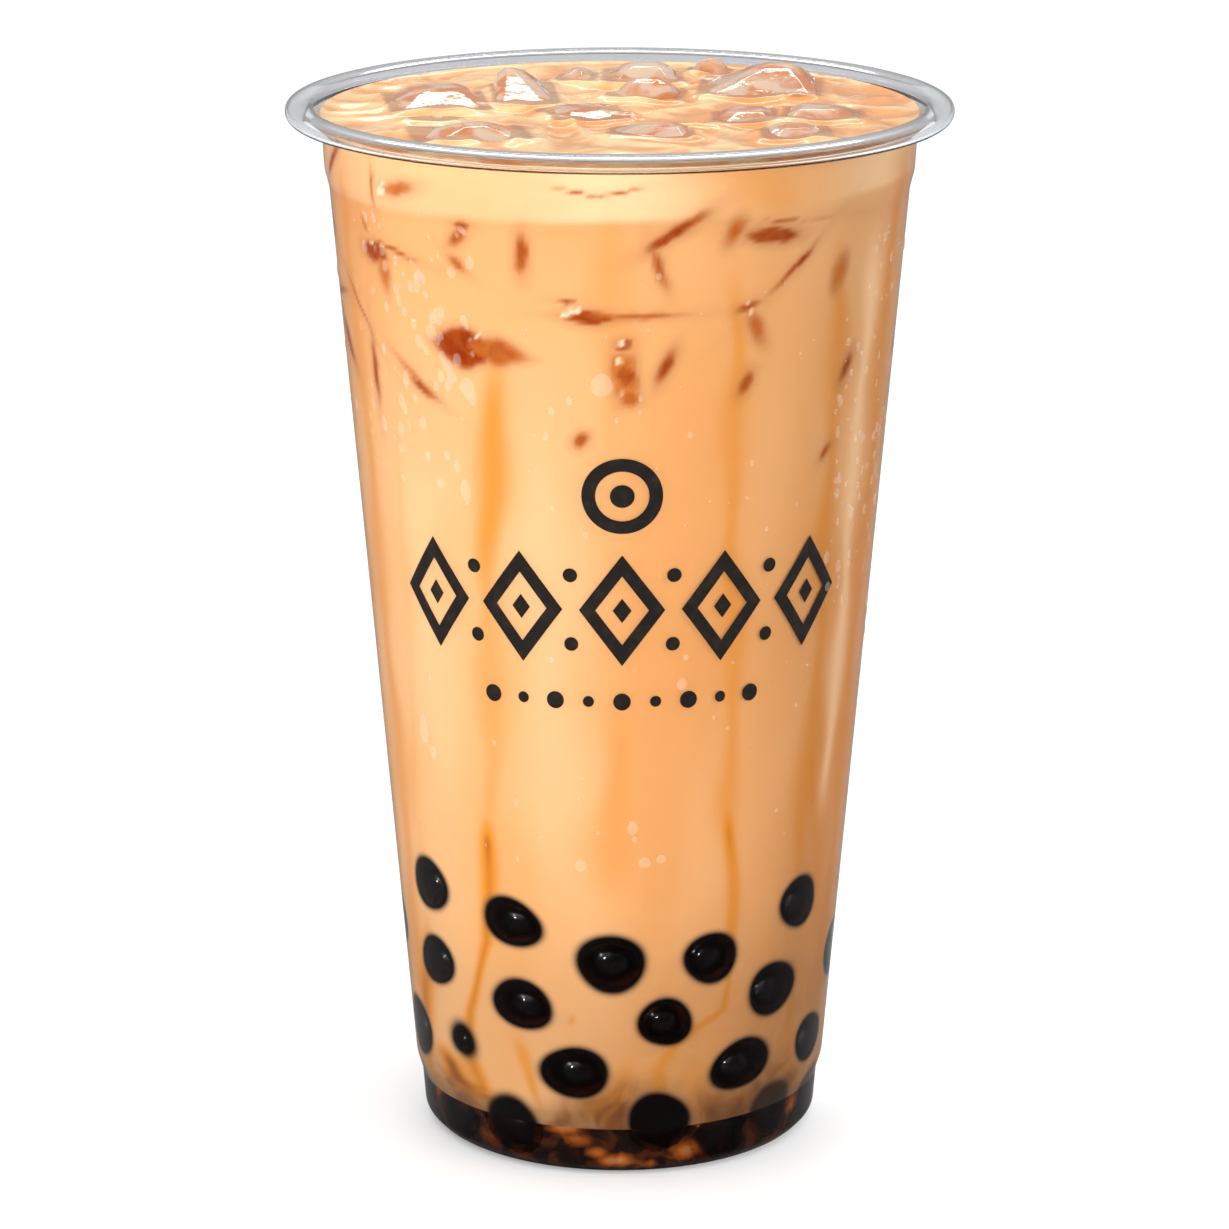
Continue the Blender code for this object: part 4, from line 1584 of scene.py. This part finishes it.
@dataclass
class Ornament:
    """A plain printed ornament of lozenges, rings and dots round the front of the wall."""

    wall: WallShape
    centre: float = 0.5
    middle: float = 0.0895
    stroke: float = 0.0019
    lozenge: tuple[float, float] = (0.0062, 0.0084)
    step: float = 0.0148
    lozenges: int = 5
    ring_radius: float = 0.0056
    ring_height: float = 0.1067
    dot_radius: float = 0.00105
    bead_height: float = 0.0756
    beads: int = 9
    bead_step: float = 0.0050
    bead_sizes: tuple[float, float] = (1.25, 0.8)
    hub_radius: float = 0.0017
    centre_share: float = 0.22
    dot_rise: float = 0.62
    proud: float = 0.00004
    film: float = 0.00004
    smooth_angle: float = 40.0

    def build(self) -> bpy.types.Object:
        """Build the ornament flat, join it and lay it on the wall."""
        motifs = []
        wide, tall = self.lozenge
        for index in range(self.lozenges):
            across = (index - (self.lozenges - 1) / 2.0) * self.step
            motifs.append(self._motif(4, across, self.middle, (wide, tall), self.stroke))
            inner = (wide * self.centre_share, tall * self.centre_share)
            motifs.append(self._motif(4, across, self.middle, inner))
            for side in (-1.0, 1.0) if index else ():
                height = self.middle + side * tall * self.dot_rise
                motifs.append(self._dot(24, across - self.step / 2.0, height, self.dot_radius))
        motifs.append(self._dot(64, 0.0, self.ring_height, self.ring_radius, self.stroke))
        motifs.append(self._dot(32, 0.0, self.ring_height, self.hub_radius))
        for index in range(self.beads):
            across = (index - (self.beads - 1) / 2.0) * self.bead_step
            size = self.dot_radius * self.bead_sizes[index % 2]
            motifs.append(self._dot(24, across, self.bead_height, size))
        piece = joined("wall_ornament", motifs)
        self._lay(piece)
        return hand_over(piece, BlackInk().build(), (), self.smooth_angle)

    def _dot(
        self, sides: int, across: float, height: float, radius: float, stroke: float = 0.0
    ) -> bpy.types.Object:
        """Return a round motif."""
        return self._motif(sides, across, height, (radius, radius), stroke)

    @staticmethod
    def _motif(
        sides: int, across: float, height: float, half: tuple[float, float], stroke: float = 0.0
    ) -> bpy.types.Object:
        """Return a flat shape in the XZ plane: filled, or an outline if it has a stroke's width."""
        deselect_all()
        bpy.ops.mesh.primitive_circle_add(
            vertices=sides,
            radius=1.0,
            fill_type="NGON" if stroke else "TRIFAN",
            location=(across, 0.0, height),
            rotation=(math.pi / 2.0, 0.0, 0.0),
        )
        motif = bpy.context.object
        motif.scale = (half[0], half[1], 1.0)
        settle(motif)
        if stroke:
            with editing(motif, "FACE"):
                bpy.ops.mesh.select_all(action="SELECT")
                bpy.ops.mesh.inset(thickness=stroke)
                bpy.ops.mesh.delete(type="FACE")
                if sides < 12:
                    bpy.ops.mesh.select_all(action="SELECT")
                    bpy.ops.mesh.subdivide(number_cuts=7)
        return motif

    def _lay(self, piece: bpy.types.Object) -> None:
        """Wrap the flat ornament round the wall and give it a film's thickness."""
        points = points_of(piece)
        heights = points[:, 2]
        radii = self.wall.radius(heights) + self.proud
        turns = math.radians(self.centre) + points[:, 0] / self.wall.radius(self.middle)
        wrapped = np.column_stack([radii * np.sin(turns), -radii * np.cos(turns), heights])
        move_points(piece, wrapped)
        with editing(piece):
            bpy.ops.mesh.select_all(action="SELECT")
            bpy.ops.mesh.remove_doubles(threshold=MERGE)
            bpy.ops.mesh.normals_make_consistent(inside=False)
        apply_modifier(piece, "SOLIDIFY", {"thickness": self.film, "offset": 0.0})


@dataclass(frozen=True)
class DewPatch:
    """A part of the wall with drops: its angles, heights, number and sizes of drops."""

    angles: tuple[float, float]
    heights: tuple[float, float]
    count: int
    sizes: tuple[float, float]


DEW_PATCHES = (
    DewPatch((-66.0, -30.0), (0.104, 0.146), 70, (0.00030, 0.00085)),
    DewPatch((-50.0, -34.0), (0.120, 0.138), 26, (0.00060, 0.00110)),
    DewPatch((50.0, 80.0), (0.085, 0.142), 110, (0.00025, 0.00080)),
    DewPatch((-20.0, 45.0), (0.100, 0.140), 40, (0.00018, 0.00050)),
    DewPatch((-62.0, 60.0), (0.050, 0.100), 36, (0.00018, 0.00045)),
    DewPatch((80.0, 290.0), (0.060, 0.146), 200, (0.00020, 0.00085)),
)

# Single larger drops: angle, height, half width and half height.
LONE_DROPS = (
    (-3.6, 0.1231, 0.00165, 0.00180),
    (-32.1, 0.1213, 0.00140, 0.00155),
    (-34.0, 0.1060, 0.00100, 0.00160),
    (-52.0, 0.1130, 0.00080, 0.00130),
    (-53.0, 0.0670, 0.00110, 0.00240),
    (-50.0, 0.0640, 0.00080, 0.00110),
    (6.0, 0.0505, 0.00100, 0.00090),
    (-9.5, 0.0500, 0.00090, 0.00100),
    (3.0, 0.0560, 0.00085, 0.00120),
    (14.0, 0.0780, 0.00080, 0.00100),
    (10.0, 0.0510, 0.00080, 0.00070),
)


@dataclass
class Dew:
    """Water drops on the outside of the cup, modelled once and copied."""

    wall: WallShape
    seed: int = 5
    height_share: float = 0.24
    bury: float = 0.00003
    segments: int = 14
    rings: int = 10
    narrowing: float = 0.22
    smooth_angle: float = 60.0

    def build(self) -> bpy.types.Object:
        """Build the drops as one joined piece."""
        draw = random.Random(self.seed)
        pattern = self._pattern()
        copies = []
        for angle, height, half_width, half_tall in LONE_DROPS:
            copies.append(self._drop(pattern, angle, height, half_width, half_tall))
        for patch in DEW_PATCHES:
            for _ in range(patch.count):
                angle = draw.uniform(*patch.angles)
                height = draw.uniform(*patch.heights)
                size = patch.sizes[0] + (patch.sizes[1] - patch.sizes[0]) * draw.random() ** 2
                tall = size * draw.uniform(1.0, 1.6)
                copies.append(self._drop(pattern, angle, height, size, tall))
        bpy.data.objects.remove(pattern)
        piece = joined("dew_drops", copies)
        return hand_over(piece, WaterDrops().build(), (), self.smooth_angle)

    def _pattern(self) -> bpy.types.Object:
        """Return one drop of unit size: half a ball towards -Y, narrower at its top."""
        drop = unit_ball(self.segments, self.rings)
        with editing(drop):
            bpy.ops.mesh.select_all(action="SELECT")
            bpy.ops.mesh.bisect(
                plane_co=(0, 0, 0), plane_no=(0, 1, 0), clear_outer=True, use_fill=True
            )
        points = points_of(drop)
        points[:, 0] *= 1.0 - self.narrowing * np.clip(points[:, 2], 0.0, 1.0)
        move_points(drop, points)
        return drop

    def _drop(
        self,
        pattern: bpy.types.Object,
        angle: float,
        height: float,
        half_width: float,
        half_tall: float,
    ) -> bpy.types.Object:
        """Return a copy of the drop laid on the wall."""
        copy = bpy.data.objects.new("drop", pattern.data.copy())
        bpy.context.scene.collection.objects.link(copy)
        rise = self.height_share * min(half_width, half_tall)
        size = Matrix.Diagonal((half_width, rise, half_tall, 1.0))
        spot = Matrix.Translation(self.wall.spot(angle, height, -self.bury))
        copy.data.transform(spot @ self.wall.outward(angle) @ size)
        return copy


@dataclass
class Studio:
    """The floor, the light and the camera."""

    lens: float = 146.1
    sensor: float = 36.0
    camera_place: tuple[float, float, float] = (-0.00076, -0.72438, 0.27842)
    camera_pitch: float = 15.43
    floor_radius: float = 6.0
    horizon: float = 0.4
    zenith: float = 1.85

    def build(self) -> None:
        """Build everything that isn't part of the drink."""
        self._camera()
        self._floor()
        self._world()
        self._lamp("key", (-0.57, -0.85, 0.48), (0.15, 0.15), 7.0).data.use_shadow = False
        self._lamp("fill", (1.05, -0.4, 0.35), (0.6, 0.7), 2.4)
        self._lamp("strip", (0.0, 1.0, 0.85), (0.6, 0.08), 1.2)
        bpy.context.scene.view_settings.view_transform = "Standard"

    def _camera(self) -> None:
        """Place the camera."""
        data = bpy.data.cameras.new("camera")
        data.lens = self.lens
        data.sensor_width = self.sensor
        data.sensor_fit = "HORIZONTAL"
        data.clip_start = 0.01
        camera = bpy.data.objects.new("camera", data)
        camera.location = self.camera_place
        camera.rotation_euler = (math.radians(90.0 - self.camera_pitch), 0.0, 0.0)
        bpy.context.scene.collection.objects.link(camera)
        bpy.context.scene.camera = camera

    def _floor(self) -> None:
        """Lay the floor."""
        deselect_all()
        bpy.ops.mesh.primitive_circle_add(vertices=96, radius=self.floor_radius, fill_type="NGON")
        floor = bpy.context.object
        floor.name = "studio_floor"
        with editing(floor, "FACE"):
            bpy.ops.mesh.select_all(action="SELECT")
            bpy.ops.mesh.inset(thickness=self.floor_radius / 2.0)
        floor.data.materials.append(StudioWhite().build())

    def _world(self) -> None:
        """Fill the room with white light from above that fades towards the horizon."""
        recipe = Recipe(bpy.data.worlds.new("studio"), "Generated")
        height = recipe.node("ShaderNodeSeparateXYZ", None, {0: recipe.place}).outputs["Z"]
        level = {"Value": height, "To Min": self.horizon, "To Max": self.zenith}
        strength = recipe.node("ShaderNodeMapRange", None, level).outputs[0]
        sky = recipe.node("ShaderNodeBackground", None, {"Strength": strength}).outputs[0]
        recipe.node("ShaderNodeOutputWorld", None, {"Surface": sky})
        bpy.context.scene.world = recipe.owner

    @staticmethod
    def _lamp(
        name: str,
        place: tuple[float, float, float],
        size: tuple[float, float],
        power: float,
    ) -> bpy.types.Object:
        """Hang a soft box that faces the drink and return it."""
        data = bpy.data.lights.new(name, "AREA")
        data.shape = "RECTANGLE"
        data.size, data.size_y = size
        data.energy = power
        lamp = bpy.data.objects.new(name, data)
        lamp.location = place
        aim = Vector((0.0, 0.0, 0.08)) - Vector(place)
        lamp.rotation_euler = aim.to_track_quat("-Z", "Y").to_euler()
        bpy.context.scene.collection.objects.link(lamp)
        return lamp


def main() -> None:
    """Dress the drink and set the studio."""
    logging.basicConfig(level=logging.INFO, format="%(name)s: %(message)s")
    noise.seed_set(NOISE_SEED)
    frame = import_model()
    nodes = frame["nodes"]
    ice = {name: node for name, node in nodes.items() if name.startswith("ice_")}
    pearls = [
        Pearl.from_node(name, node)
        for name, node in sorted(nodes.items())
        if name.startswith("pearl_") and name != "pearl_layer"
    ]
    wall = WallShape()
    Studio().build()
    builders = (
        Cup(wall),
        SyrupFoot(wall),
        TeaBody(wall, pearls),
        TeaSurface(wall, ice),
        FloatingIce(ice),
        Tapioca(wall, pearls),
        Ornament(wall),
        Dew(wall),
    )
    for builder in builders:
        made = builder.build()
        for piece in made if isinstance(made, list) else [made]:
            LOG.info("%s: %d faces", piece.name, len(piece.data.polygons))
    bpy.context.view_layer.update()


if __name__ == "__main__":
    main()
